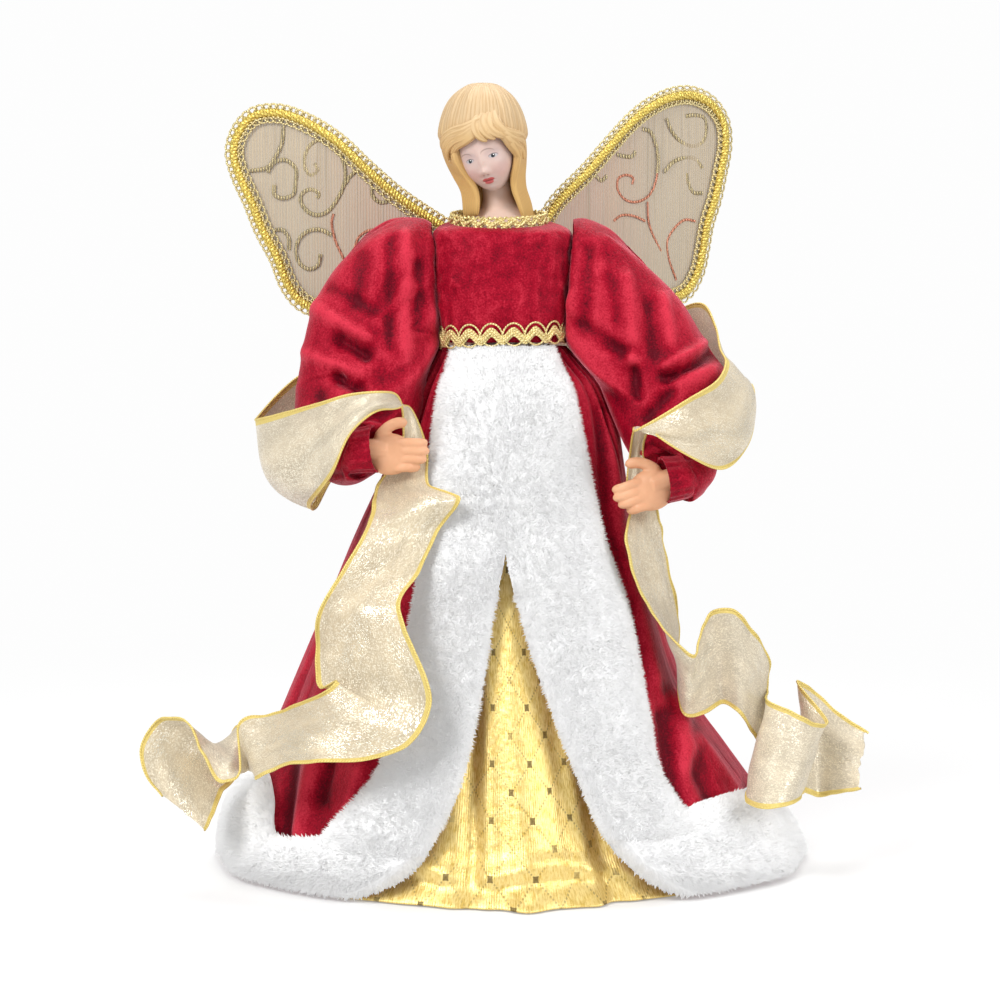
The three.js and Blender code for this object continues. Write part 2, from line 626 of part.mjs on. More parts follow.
// Strip between the two edges of its stations
function makeRibbon(name, stations, perStation) {
  const spread = bodiceHalfWidth + fit - ribbonShoulder[0];
  const rise = shoulderHeight - ribbonShoulder[1];
  const hands = ribbonShoulder[1] + rightArm[rightArm.length - 1][2] - palmHeight;
  const settle = ([x, y, z]) => {
    const aside = THREE.MathUtils.clamp(x / ribbonShoulder[0], -1, 1);
    return new THREE.Vector3(x + spread * aside, y, z + rise * Math.min(1, z / hands));
  };
  const [first, second] = [0, 1].map((i) => new THREE.CatmullRomCurve3(stations.map((pair) => settle(pair[i]))));
  const count = Math.round((stations.length - 1) * perStation);
  const middleAt = (t) => first.getPoint(t).add(second.getPoint(t)).multiplyScalar(0.5);
  const sections = steps(count).map((t) => {
    const a = first.getPoint(t);
    const b = second.getPoint(t);
    const ahead = middleAt(Math.min(1, t + 0.004)).sub(middleAt(Math.max(0, t - 0.004)));
    const face = ahead.cross(b.clone().sub(a)).normalize();
    const point = (share, out) => a.clone().lerp(b, share).addScaledVector(face, (out * ribbonDepth) / 2);
    return [point(0, 1), point(0.5, 1), point(1, 1), point(1, -1), point(0.5, -1), point(0, -1)];
  });
  return mesh(name, loft(sections), materials.ribbon);
}

const angel = new THREE.Group();
angel.name = "angel_tree_topper";
angel.add(
  makeCone(),
  makeTorso(),
  makeBodice(),
  makeCollar(),
  makeWaistBraid(),
  makeUnderskirt(),
  makeCoat(),
  makeFrontFur("left_front_fur", leftEdge, furEdgeLeft, flareLeft, -1),
  makeFrontFur("right_front_fur", rightEdge, furEdgeRight, flareRight, 1),
  makeHemFur(),
  makeBust(),
  makeCasing(),
  makeWing("left", -1, leftWingSweep, leftWingLine),
  makeWing("right", 1, rightWingSweep, rightWingLine),
  makeArm("left", -1, leftArm, leftPuff, 0),
  makeArm("right", 1, rightArm, rightPuff, -rightHandDrop),
  makeRibbon("ribbon_back", ribbonBack, 4),
  makeRibbon("left_ribbon", ribbonLeft, 2.5),
  makeRibbon("right_ribbon", ribbonRight, 2.5),
);

export default angel;
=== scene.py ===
# Angel tree topper: the cloth, fur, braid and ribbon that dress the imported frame
import math
import random

import bmesh
import bpy
from mathutils import Matrix, Vector, noise


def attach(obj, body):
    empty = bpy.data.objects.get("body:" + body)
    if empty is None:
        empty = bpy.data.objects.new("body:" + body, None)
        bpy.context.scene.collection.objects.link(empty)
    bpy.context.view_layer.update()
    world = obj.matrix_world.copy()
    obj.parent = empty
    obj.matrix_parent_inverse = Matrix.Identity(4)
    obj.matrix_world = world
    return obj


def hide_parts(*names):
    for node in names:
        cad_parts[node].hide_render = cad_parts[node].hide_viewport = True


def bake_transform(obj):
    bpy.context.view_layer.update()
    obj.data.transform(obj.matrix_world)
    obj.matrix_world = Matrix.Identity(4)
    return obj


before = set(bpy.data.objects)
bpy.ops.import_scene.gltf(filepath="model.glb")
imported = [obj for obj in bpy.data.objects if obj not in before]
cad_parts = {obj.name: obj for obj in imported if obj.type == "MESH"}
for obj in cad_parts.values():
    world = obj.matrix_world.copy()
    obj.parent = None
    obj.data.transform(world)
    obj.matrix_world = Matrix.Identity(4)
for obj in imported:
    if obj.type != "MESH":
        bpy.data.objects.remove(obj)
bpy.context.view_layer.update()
scene = bpy.context.scene
mm = 0.001
full = 2 * math.pi


def mix(low, high, share):
    return low + (high - low) * share


def ease(value, low, high):
    share = max(0.0, min(1.0, (value - low) / (high - low)))
    return share * share * (3 - 2 * share)


# Smooth value at a place between the values given at set places
def flow(places, values, place):
    last = len(places) - 1
    i = min(last - 1, sum(1 for p in places[1:-1] if p <= place))
    step = places[i + 1] - places[i]

    def slope(k):
        before, after = max(k - 1, 0), min(k + 1, last)
        return (values[after] - values[before]) / (places[after] - places[before]) * step

    t = max(0.0, min(1.0, (place - places[i]) / step))
    bend = slope(i) * (t ** 3 - 2 * t * t + t) + slope(i + 1) * (t ** 3 - t * t)
    return mix(values[i], values[i + 1], t * t * (3 - 2 * t)) + bend


# Point on a smooth line through the given points
def splineAt(points, t):
    last = len(points) - 1
    i = min(int(t * last), last - 1)
    share = t * last - i
    b, c = points[i], points[i + 1]
    a = points[i - 1] if i else b * 2 - c
    d = points[i + 2] if i < last - 1 else c * 2 - b
    bc = (c - b).length ** 0.5
    ab, cd = (b - a).length ** 0.5 or bc, (d - c).length ** 0.5 or bc
    leave = ((b - a) / ab - (c - a) / (ab + bc) + (c - b) / bc) * bc
    arrive = ((c - b) / bc - (d - b) / (bc + cd) + (d - c) / cd) * bc
    square = (c - b) * 3 - leave * 2 - arrive
    return b + leave * share + square * share ** 2 + ((b - c) * 2 + leave + arrive) * share ** 3


def smoothLine(points, count):
    points = [Vector(p) for p in points]
    return [splineAt(points, i / count) for i in range(count + 1)]


# Points at equal steps along a line
def evenLine(points, step, closed=False):
    points = points + points[:1] if closed else points
    runs = [0.0]
    for a, b in zip(points, points[1:]):
        runs.append(runs[-1] + (b - a).length)
    count = max(2, round(runs[-1] / step))
    made, i = [], 0
    for k in range(count if closed else count + 1):
        place = runs[-1] * k / count
        while i < len(runs) - 2 and runs[i + 1] < place:
            i += 1
        made.append(points[i].lerp(points[i + 1], (place - runs[i]) / max(runs[i + 1] - runs[i], 1e-9)))
    return made, runs[-1]


# Shader socket that sums, products and nodes are written on
class Wire:
    def __init__(self, socket):
        self.socket = socket

    def node(self, kind, settings=(), sockets=(), output=0):
        tree = self.socket.id_data
        made = tree.nodes.new("ShaderNode" + kind)
        for name, value in dict(settings).items():
            if name == "stops":
                for stop, (place, colour) in zip(made.color_ramp.elements, value):
                    stop.position, stop.color = place, (*colour, 1)
                for place, colour in value[2:]:
                    made.color_ramp.elements.new(place).color = (*colour, 1)
            else:
                setattr(made, name, value)
        for key, value in dict(sockets).items():
            if isinstance(value, Wire):
                tree.links.new(value.socket, made.inputs[key])
            else:
                made.inputs[key].default_value = value
        return Wire(made.outputs[output])

    def maths(self, operation, *values):
        return self.node("Math", {"operation": operation}, enumerate(values))

    def __abs__(self):
        return self.maths("ABSOLUTE", self)

    def sin(self):
        return self.maths("SINE", self)

    def part(self):
        return self.maths("FRACT", self)

    # 0 below low, 1 above high
    def rise(self, low, high):
        ends = {"Value": self, "From Min": low, "From Max": high}
        return self.node("MapRange", {"interpolation_type": "SMOOTHSTEP"}, ends)

    def axes(self):
        return [self.node("SeparateXYZ", {}, {0: self}, i) for i in range(3)]

    def scaled(self, x, y, z):
        return self.node("VectorMath", {"operation": "MULTIPLY"}, {0: self, 1: (x, y, z)})

    def cloud(self, scale, detail=2.0, roughness=0.5):
        sockets = {"Vector": self, "Scale": scale, "Detail": detail, "Roughness": roughness}
        return self.node("TexNoise", {}, sockets)

    def cells(self, scale, output=0):
        return self.node("TexVoronoi", {}, {"Vector": self, "Scale": scale}, output)

    def tint(self, low, high):
        colours = {0: self, 6: (*low, 1) if isinstance(low, tuple) else low,
                   7: (*high, 1) if isinstance(high, tuple) else high}
        return self.node("Mix", {"data_type": "RGBA"}, colours, 2)

    def bump(self, strength, distance=0.001):
        return self.node("Bump", {}, {"Height": self, "Strength": strength, "Distance": distance})


# Lets a wire stand on either side of a sum, a product or a power
def addOperator(word, operation):
    setattr(Wire, "__" + word + "__", lambda self, other: self.maths(operation, self, other))
    setattr(Wire, "__r" + word + "__", lambda self, other: self.maths(operation, other, self))


operators = {"add": "ADD", "sub": "SUBTRACT", "mul": "MULTIPLY", "truediv": "DIVIDE", "pow": "POWER"}
for word, operation in operators.items():
    addOperator(word, operation)


# Principled material; gives the shader and its object and UV coordinates
def newFinish(name, constants):
    finish = bpy.data.materials.new(name)
    finish.use_nodes = True
    tree = finish.node_tree
    shader = tree.nodes["Principled BSDF"]
    for key, value in constants.items():
        shader.inputs[key].default_value = value
    places = tree.nodes.new("ShaderNodeTexCoord")
    return finish, shader, Wire(places.outputs["Object"]), Wire(places.outputs["UV"])


feedNames = {"colour": "Base Color", "rough": "Roughness", "metal": "Metallic", "alpha": "Alpha",
             "bump": "Normal"}


def feed(shader, **wires):
    for key, wire in wires.items():
        shader.id_data.links.new(wire.socket, shader.inputs[feedNames[key]])


velvetSet = {"deep": (0.085, 0.0003, 0.006), "red": (0.31, 0.0018, 0.016), "lit": (0.58, 0.030, 0.058)}


# Crushed velvet, its tone varying at random in patches; an attribute high on ridges and low in hollows paints
# shade into the colour: lighter ridges, darker hollows
def makeVelvet():
    finish, shader, spot, _ = newFinish("redVelvet", {
        "Specular IOR Level": 0.25, "Specular Tint": (1.0, 0.30, 0.36, 1), "Sheen Weight": 1.0,
        "Sheen Roughness": 0.28, "Sheen Tint": (1.0, 0.28, 0.35, 1)})
    crest = spot.node("Attribute", {"attribute_name": "crest"}, {}, 2)
    crush = spot.scaled(1, 1, 0.7).cloud(45, 3, 0.55)
    nap = spot.scaled(1, 1, 0.4).cloud(330, 3, 0.65)
    pile = spot.cloud(1500, 2, 0.6)
    # painted shade: cloth ridges lifted towards the lit red, hollows sunk towards the deep red
    shade = crush * 0.30 + nap * 0.20 + pile * 0.38 + crest * 0.16 + 0.06
    colour = shade.node("ValToRGB", {"stops": [
        (0.34, velvetSet["deep"]), (0.68, velvetSet["lit"]), (0.50, velvetSet["red"])]}, {0: shade})
    feed(shader, colour=colour, rough=0.42 + crush * 0.2,
         bump=(pile + nap * 1.2 + crush * 2).bump(0.4, 0.0008))
    return finish


brocadeSet = {"cellWide": 13.0, "cellHigh": 21.0, "line": (0.018, 0.034), "dots": 10, "dot": (0.20, 0.28),
              "pale": (0.93, 0.73, 0.29), "gold": (0.66, 0.43, 0.075), "dark": (0.13, 0.085, 0.02)}


# Gold cloth with a dotted diamond lattice; its UV is in millimetres
def makeBrocade():
    finish, shader, _, uv = newFinish("goldBrocade", {"Metallic": 0.5, "Specular IOR Level": 0.6})
    across, up, _ = uv.axes()
    one = across / brocadeSet["cellWide"] + up / brocadeSet["cellHigh"]
    two = across / brocadeSet["cellWide"] - up / brocadeSet["cellHigh"]
    lineOne, lineTwo = (abs((x + 0.5).part() - 0.5) for x in (one, two))
    dotOne, dotTwo = (abs((x * brocadeSet["dots"]).part() - 0.5) for x in (two, one))
    clearOne, clearTwo = (1 - (1 - line.rise(*brocadeSet["line"])) * dot.rise(*brocadeSet["dot"])
                          for line, dot in ((lineOne, dotOne), (lineTwo, dotTwo)))
    lattice = 1 - clearOne * clearTwo
    knot = (1 - (lineOne + lineTwo).rise(0.11, 0.13)) * uv.cloud(0.11, 1).rise(0.36, 0.46)
    blotch = uv.cloud(0.04, 2).rise(0.30, 0.55)
    dark = 1 - (1 - lattice * 0.5 * blotch) * (1 - knot * 0.85 * (0.3 + blotch * 0.7))
    threads = (across * 9).sin() * 0.5 + 0.5
    glint = uv.scaled(1.6, 0.22, 1).cloud(1.4, 3, 0.7)
    crinkle = uv.scaled(0.35, 0.3, 1).cloud(0.8, 3, 0.6)
    # painted highlights and shade: the cloth turns pale along the glints and the crinkles, gold between them
    cloth = (glint * 0.7 + crinkle * 0.3).rise(0.34, 0.60).tint(brocadeSet["gold"], brocadeSet["pale"])
    feed(shader, colour=dark.tint(cloth, brocadeSet["dark"]), rough=0.26 + glint * 0.2 + dark * 0.2,
         bump=(threads * 0.2 + glint * 0.5 + crinkle * 1.8).bump(0.35, 0.0006))
    return finish


def makeFurFinish():
    # The fur glows faintly: painted light that lifts its shaded pile towards white
    finish, shader, spot, _ = newFinish("whiteFur", {
        "Roughness": 0.9, "Specular IOR Level": 0.15, "Sheen Weight": 0.2, "Sheen Roughness": 0.5,
        "Subsurface Weight": 0.5, "Subsurface Radius": (1.0, 1.0, 1.0), "Subsurface Scale": 0.003,
        "Emission Color": (1, 1, 1, 1), "Emission Strength": 0.17})
    tuft = spot.cloud(150, 3, 0.6)
    feed(shader, colour=tuft.rise(0.3, 0.7).tint((0.95, 0.95, 0.955), (0.99, 0.99, 0.985)))
    return finish


ribbonFinishSet = {"base": (0.64, 0.53, 0.35), "fleck": (1.0, 0.95, 0.80), "reverse": (0.64, 0.55, 0.40)}


# Lamé flecks in a thin cloth; its UV is in millimetres
def makeRibbonFinish(name, base, fleck, metal):
    # The cloth glows faintly: painted light standing in for light that shines through the sheer ribbon
    finish, shader, _, uv = newFinish(name, {
        "Specular IOR Level": 0.6, "Sheen Weight": 0.3, "Emission Color": (0.9, 0.78, 0.56, 1),
        "Emission Strength": 0.06})
    across, along, _ = uv.axes()
    chip = uv.scaled(1, 1.5, 1).cells(2.3, 1).axes()[0]
    patch = uv.cloud(0.06, 2, 0.5).rise(0.36, 0.66)
    soft = uv.scaled(0.5, 1, 1).cloud(0.12, 3, 0.6)
    bright = chip.rise(0.50, 0.95) * (0.45 + patch * 0.55)
    ground = soft.rise(0.3, 0.7).tint(tuple(0.74 * c for c in base), base)
    weave = (across * 9).sin() * 0.5 + (along * 9).sin() * 0.5
    feed(shader, colour=bright.tint(ground, fleck), metal=metal * bright, rough=0.46 - bright * 0.24,
         bump=(chip * 0.8 + weave * 0.2).bump(0.3, 0.0004), alpha=0.84 + bright * 0.16)
    return finish


# Twisted gold thread; UV runs along the cord in millimetres and once round it
def makeGold(name, deep, bright, pitch, rough, metal=0.8):
    finish, shader, spot, uv = newFinish(name, {"Metallic": metal, "Specular IOR Level": 0.5})
    length, turn, _ = uv.axes()
    twist = ((length / pitch + turn * 2) * full).sin() * 0.5 + 0.5
    blotch = spot.cloud(700, 2, 0.6)
    # painted shade and highlight: deep between the twisted plies, bright on them, mixed with random patches
    feed(shader, colour=(twist * 0.6 + blotch * 0.4).tint(deep, bright), rough=rough + blotch * 0.2,
         bump=twist.bump(0.5, 0.0004))
    return finish


wingFinishSet = {"thread": (0.55, 0.45, 0.31), "gap": (0.31, 0.24, 0.15), "rose": (0.50, 0.26, 0.18)}


# Sheer cloth of upright threads; its UV is in millimetres on the wing's plane
def makeSheer():
    finish, shader, _, uv = newFinish("sheerWing", {"Specular IOR Level": 0.5})
    out, _, _ = uv.axes()
    slub = uv.scaled(1, 0.02, 1).cloud(1.3, 3, 0.75)
    threads = (out * 5.2 + slub * 6).sin() * 0.5 + 0.5
    dark = uv.scaled(1, 0.012, 1).cloud(0.55, 2, 0.7).rise(0.54, 0.66)
    rose = (1 - out.rise(30, 78)) * 0.45
    base = (threads * 0.55 + slub * 0.45).tint(wingFinishSet["gap"], wingFinishSet["thread"])
    shade = (dark * 0.55).tint(rose.tint(base, wingFinishSet["rose"]), wingFinishSet["gap"])
    feed(shader, colour=shade, alpha=0.80 + threads * 0.18, rough=0.4 + slub * 0.2,
         bump=threads.bump(0.4, 0.0004))
    return finish


# Glitter stitches that break over the cloth's upright threads
def makeGlitter(name, deep, bright, gaps):
    finish, shader, spot, _ = newFinish(name, {"Metallic": 0.6})
    chip = spot.cells(1300, 1).axes()[0]
    stitch = (spot.axes()[0] * (full / 0.0012)).sin() * 0.5 + 0.5
    feed(shader, colour=(chip * 0.45 + stitch * 0.55).tint(deep, bright), rough=0.25 + chip * 0.35,
         bump=(chip + stitch).bump(0.6, 0.0004), alpha=1 - (1 - stitch.rise(0.2, 0.5)) * gaps)
    return finish


skinSet = {"Specular IOR Level": 0.4, "Subsurface Weight": 0.08, "Subsurface Scale": 0.6,
           "Subsurface Radius": (0.004, 0.0015, 0.001)}


# Painted porcelain skin
def makeSkin(name, pale, warm):
    finish, shader, spot, _ = newFinish(name, skinSet)
    mottle = spot.cloud(120, 3, 0.55)
    feed(shader, colour=mottle.rise(0.3, 0.75).tint(pale, warm), rough=0.42 + mottle * 0.12,
         bump=spot.cloud(900, 2, 0.6).bump(0.06, 0.0004))
    return finish


headSet = {"centre": (-9.5, -9.0, 281.0), "yaw": 12, "pitch": 8, "roll": 14}
headTurn = (Matrix.Rotation(math.radians(-headSet["yaw"]), 3, "Z")
            @ Matrix.Rotation(math.radians(headSet["pitch"]), 3, "X")
            @ Matrix.Rotation(math.radians(-headSet["roll"]), 3, "Y"))
featureSet = {"eyeOut": 4.75, "eyeUp": -2.2, "mouthUp": -11.2, "cheekOut": 5.6, "cheekUp": -8.0,
              "brows": (-6.0, 3.0)}


# Face paint, laid out in millimetres from the middle of the face
def makeFacePaint():
    finish, shader, spot, _ = newFinish("paintedFace", {**skinSet, "Subsurface Weight": 0.06})
    local = spot.node("Mapping", {"vector_type": "TEXTURE"}, {
        "Vector": spot, "Location": [c * mm for c in headSet["centre"]], "Rotation": headTurn.to_euler(),
        "Scale": (mm, mm, mm)})
    x, y, z = local.axes()
    side = abs(x)
    front = 1 - y.rise(-6, -3)

    def patch(place, out, up, wide, high, soft):
        away = ((place - out) / wide) ** 2 + ((z - up) / high) ** 2
        return (1 - away.rise(1 - soft, 1 + soft)) * front

    eyeOut, eyeUp, mouthUp = featureSet["eyeOut"], featureSet["eyeUp"], featureSet["mouthUp"]
    mottle = spot.cloud(150, 3, 0.5)
    skin = mottle.rise(0.3, 0.75).tint((0.56, 0.42, 0.38), (0.62, 0.45, 0.39))
    brows = [patch(x, out, eyeUp + 1.7, 2.5, 1.45, 0.25) * (1 - patch(x, out, eyeUp + 1.15, 2.7, 1.55, 0.3))
             for out in featureSet["brows"]]
    white = patch(side, eyeOut, eyeUp - 0.2, 1.55, 0.68, 0.35)
    sparks = [patch(x, out, eyeUp + 0.2, 0.2, 0.2, 0.4) for out in (eyeOut + 0.15, 0.25 - eyeOut)]
    upper = patch(side, 0.9, mouthUp + 0.4, 1.45, 0.66, 0.35)
    lower = patch(x, 0.0, mouthUp - 0.55, 1.75, 0.8, 0.35)
    lips = upper.maths("MAXIMUM", upper, lower)
    paints = [  # shape, strength and colour: cheeks, sockets, brows, eyes, lips and nostrils
        (patch(side, featureSet["cheekOut"], featureSet["cheekUp"], 3.6, 3.0, 0.95), 0.3, (0.66, 0.36, 0.31)),
        (patch(side, eyeOut, eyeUp + 0.6, 2.9, 2.0, 0.9), 0.45, (0.47, 0.35, 0.34)),
        (brows[0], 0.7, (0.24, 0.16, 0.13)), (brows[1], 0.7, (0.24, 0.16, 0.13)),
        (patch(side, eyeOut, eyeUp, 1.75, 0.86, 0.3), 0.7, (0.13, 0.10, 0.11)),
        (white, 0.9, (0.46, 0.44, 0.46)),
        (patch(side, eyeOut - 0.1, eyeUp - 0.1, 0.78, 0.80, 0.3), 1.0, (0.06, 0.065, 0.075)),
        (patch(side, eyeOut - 0.1, eyeUp - 0.1, 0.48, 0.5, 0.3), 1.0, (0.012, 0.012, 0.015)),
        (sparks[0] + sparks[1], 1.0, (0.9, 0.9, 0.9)),
        (lips, 0.9, (0.50, 0.055, 0.06)), (patch(x, 0.0, mouthUp, 2.5, 0.22, 0.5), 0.8, (0.22, 0.03, 0.03)),
        (patch(side, 0.85, -8.95, 0.5, 0.3, 0.6), 0.6, (0.30, 0.13, 0.11)),
    ]
    for shape, strength, colour in paints:
        skin = (shape * strength).tint(skin, colour)
    feed(shader, colour=skin, rough=0.46 - lips * 0.12 - white * 0.2)
    return finish


hairFinishSet = {"crown": (0.62, 0.45, 0.26), "lower": (0.64, 0.40, 0.14), "groove": (0.36, 0.19, 0.06)}


# Moulded hair; the UV counts strands across the locks
def makeHairFinish():
    finish, shader, spot, uv = newFinish("mouldedHair", {"Specular IOR Level": 0.35})
    _, _, z = spot.axes()
    _, strand, _ = uv.axes()
    comb = ((strand + uv.scaled(0.05, 1, 1).cloud(1.2, 2, 0.6) * 1.6) * full).sin() * 0.5 + 0.5
    blotch = spot.cloud(160, 3, 0.6)
    base = (z + blotch * 0.008).rise(0.274, 0.302).tint(hairFinishSet["lower"], hairFinishSet["crown"])
    # painted shade: the combed grooves are darkened towards the groove colour, more in some patches than
    # others
    feed(shader, colour=((1 - comb.rise(0.0, 0.5)) * (0.12 + blotch * 0.5)).tint(base, hairFinishSet["groove"]),
         rough=0.5 + comb * 0.1, bump=comb.bump(0.32, 0.0005))
    return finish


def makeCard():
    finish, shader, spot, _ = newFinish("buffCard", {"Roughness": 0.85})
    fibre = spot.scaled(1, 1, 0.3).cloud(500, 4, 0.65)
    feed(shader, colour=fibre.tint((0.36, 0.25, 0.15), (0.58, 0.44, 0.29)), rough=0.75 + fibre * 0.2,
         bump=fibre.bump(0.25, 0.0005))
    return finish


def makeFoam():
    finish, shader, spot, _ = newFinish("whiteFoam", {"Roughness": 0.9})
    bead = spot.cells(450)
    feed(shader, colour=bead.rise(0.1, 0.7).tint((0.86, 0.85, 0.82), (0.70, 0.69, 0.65)),
         bump=bead.bump(0.4, 0.0008))
    return finish


def makeWireFinish():
    finish, shader, spot, _ = newFinish("paperedWire", {"Metallic": 0.6})
    dull = spot.cloud(400, 3, 0.6)
    feed(shader, colour=dull.tint((0.34, 0.32, 0.28), (0.62, 0.60, 0.55)), rough=0.35 + dull * 0.3,
         bump=dull.bump(0.2, 0.0003))
    return finish


finishes = {
    "velvet": makeVelvet(), "brocade": makeBrocade(), "fur": makeFurFinish(), "sheer": makeSheer(),
    "ribbon": makeRibbonFinish("goldRibbon", ribbonFinishSet["base"], ribbonFinishSet["fleck"], 0.8),
    "reverse": makeRibbonFinish("ribbonReverse", ribbonFinishSet["reverse"], (0.97, 0.90, 0.72), 0.6),
    "edge": makeGold("edgeThread", (0.62, 0.45, 0.09), (0.94, 0.78, 0.30), 1.1, 0.45, 0.3),
    "braid": makeGold("goldBraid", (0.48, 0.33, 0.05), (0.96, 0.78, 0.22), 1.3, 0.28, 0.7),
    "trim": makeGold("paleTrim", (0.52, 0.38, 0.11), (1.0, 0.87, 0.46), 1.1, 0.28, 0.55),
    "picot": makeGold("paleBraid", (0.46, 0.36, 0.13), (0.94, 0.82, 0.48), 1.0, 0.30, 0.6),
    "scroll": makeGlitter("goldScroll", (0.24, 0.19, 0.09), (0.72, 0.60, 0.34), 0.8),
    "copper": makeGlitter("copperScroll", (0.40, 0.13, 0.07), (0.78, 0.36, 0.24), 0.3),
    "face": makeFacePaint(), "skin": makeSkin("paleSkin", (0.66, 0.49, 0.41), (0.71, 0.50, 0.40)),
    "hand": makeSkin("peachSkin", (0.70, 0.36, 0.20), (0.78, 0.42, 0.24)), "hair": makeHairFinish(),
    "card": makeCard(), "foam": makeFoam(), "wire": makeWireFinish(),
}
print("finishes made")


def addPiece(name, bm, finish, body=None):
    mesh = bpy.data.meshes.new(name)
    bm.to_mesh(mesh)
    bm.free()
    mesh.shade_smooth()
    mesh.materials.append(finishes[finish])
    piece = bpy.data.objects.new(name, mesh)
    scene.collection.objects.link(piece)
    if body:
        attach(piece, body)
    return piece


def addModifier(piece, kind, **settings):
    made = piece.modifiers.new(kind.lower(), kind)
    for key, value in settings.items():
        setattr(made, key, value)
    return made


def subdivide(piece):
    addModifier(piece, "SUBSURF", levels=1, render_levels=1)


# Grid bent to a shape; place and uv take shares across and along
def bentGrid(columns, rows, place, uv=None, closed=False, bm=None):
    bm = bm or bmesh.new()
    layer = bm.loops.layers.uv.verify()
    verts = bmesh.ops.create_grid(bm, x_segments=columns, y_segments=rows, size=0.5)["verts"]
    shares = {v: (v.co.x + 0.5, v.co.y + 0.5) for v in verts}
    for face in {f for v in verts for f in v.link_faces}:
        for loop in face.loops:
            s, t = shares[loop.vert]
            loop[layer].uv = uv(s, t) if uv else (s, t)
    for v, (s, t) in shares.items():
        v.co = Vector(place(s, t)) * mm
    if closed:
        bmesh.ops.remove_doubles(bm, verts=verts, dist=1e-6)
    return bm


# Direction of a line at one of its points
def aheadAt(points, i, closed):
    last = len(points) - 1
    before = points[i - 1] if i or closed else points[i]
    after = points[(i + 1) % (last + 1)] if i < last or closed else points[i]
    return (after - before).normalized()


# Tube along a line of points in millimetres; radius may change along it
def tube(bm, points, radius, sides=6, closed=False, flat=1.0, up=(0, 0, 1), strands=1.0):
    count = len(points)
    steps = count if closed else count - 1
    up = Vector(up)
    rings, runs = [], [0.0]
    for i, p in enumerate(points):
        ahead = aheadAt(points, i, closed)
        up = (up - ahead * up.dot(ahead)).normalized()
        rings.append((p, ahead.cross(up), up))
        runs.append(runs[-1] + (points[(i + 1) % count] - p).length)

    def place(s, t):
        p, across, lift = rings[round(s * steps) % count]
        size = radius(s) if callable(radius) else radius
        return p + across * (math.cos(full * t) * size) - lift * (math.sin(full * t) * size * flat)

    return bentGrid(steps, sides, place, lambda s, t: (runs[round(s * steps)], t * strands), True, bm)


# Looped cord along a line: it swings along, across and out of the line once in each period
def gimp(bm, line, outAt, cord, closed=False):
    points, length = evenLine(line, cord["period"] / cord.get("steps", 10), closed)
    turns = max(1, round(length / cord["period"]))
    steps = len(points) if closed else len(points) - 1
    made = []
    for i, p in enumerate(points):
        ahead = aheadAt(points, i, closed)
        out = outAt(p)
        across = out.cross(ahead).normalized()
        angle = full * (turns * i / steps + cord.get("phase", 0))
        made.append(p + ahead * (cord.get("along", 0) * math.sin(angle))
                    + across * (cord.get("shift", 0) + cord["swing"] * math.cos(angle))
                    + out * (cord.get("out", 0) + cord.get("weave", 0) * math.sin(angle)))
    return tube(bm, made, cord["radius"], 5, closed, up=outAt(made[0]))


cameraSet = {"place": (-0.004, -1.0, 0.215), "pitch": 4.05, "lens": 91.14}
lightSet = {
    "key": {"place": (-1.0, -1.2, 1.25), "aim": (0, 0, 0.16), "size": 0.8, "power": 26},
    "fill": {"place": (1.3, -0.9, 0.9), "aim": (0, 0, 0.15), "size": 1.0, "power": 15},
    "top": {"place": (0.1, 0.45, 1.5), "aim": (0, 0, 0.2), "size": 1.0, "power": 14},
}
studioSet = {"white": 0.985, "glow": 0.42, "floor": 0.86}


def makeStudio():
    data = bpy.data.cameras.new("studioCamera")
    data.lens, data.sensor_width = cameraSet["lens"], 36
    camera = bpy.data.objects.new("studioCamera", data)
    camera.location = cameraSet["place"]
    camera.rotation_euler = (math.radians(90 - cameraSet["pitch"]), 0, 0)
    scene.collection.objects.link(camera)
    scene.camera = camera
    for name, light in lightSet.items():
        lamp = bpy.data.lights.new(name + "Light", "AREA")
        lamp.energy, lamp.size = light["power"], light["size"]
        holder = bpy.data.objects.new(name + "Light", lamp)
        holder.location = light["place"]
        aim = Vector(light["aim"]) - Vector(light["place"])
        holder.rotation_euler = aim.to_track_quat("-Z", "Y").to_euler()
        scene.collection.objects.link(holder)
    world = bpy.data.worlds.new("studio")
    scene.world = world
    world.use_nodes = True
    glow = world.node_tree.nodes["Background"]
    ray = Wire(world.node_tree.nodes.new("ShaderNodeLightPath").outputs["Is Camera Ray"])
    strength = ray * (studioSet["white"] - studioSet["glow"]) + studioSet["glow"]
    world.node_tree.links.new(strength.socket, glow.inputs["Strength"])
    glow.inputs["Color"].default_value = (1, 1, 1, 1)

    grey = [studioSet["floor"]] * 3
    finish, shader, spot, _ = newFinish("paleFloor", {"Roughness": 0.9, "Base Color": (*grey, 1)})
    far = spot.node("VectorMath", {"operation": "LENGTH"}, {0: spot}, 1).rise(-0.25, 0.75)
    lit = spot.node("Emission", {}, {"Color": (1, 1, 1, 1), "Strength": studioSet["white"]})
    plain = Wire(shader.outputs[0])
    both = spot.node("MixShader", {}, {0: far, 1: plain, 2: lit})
    finish.node_tree.links.new(both.socket, finish.node_tree.nodes["Material Output"].inputs[0])
    bm = bmesh.new()
    bmesh.ops.create_circle(bm, cap_ends=True, segments=64, radius=40)
    finishes["floor"] = finish
    floor = addPiece("studio_floor", bm, "floor")
    scene.view_settings.view_transform = "Standard"


makeStudio()
print("studio set")

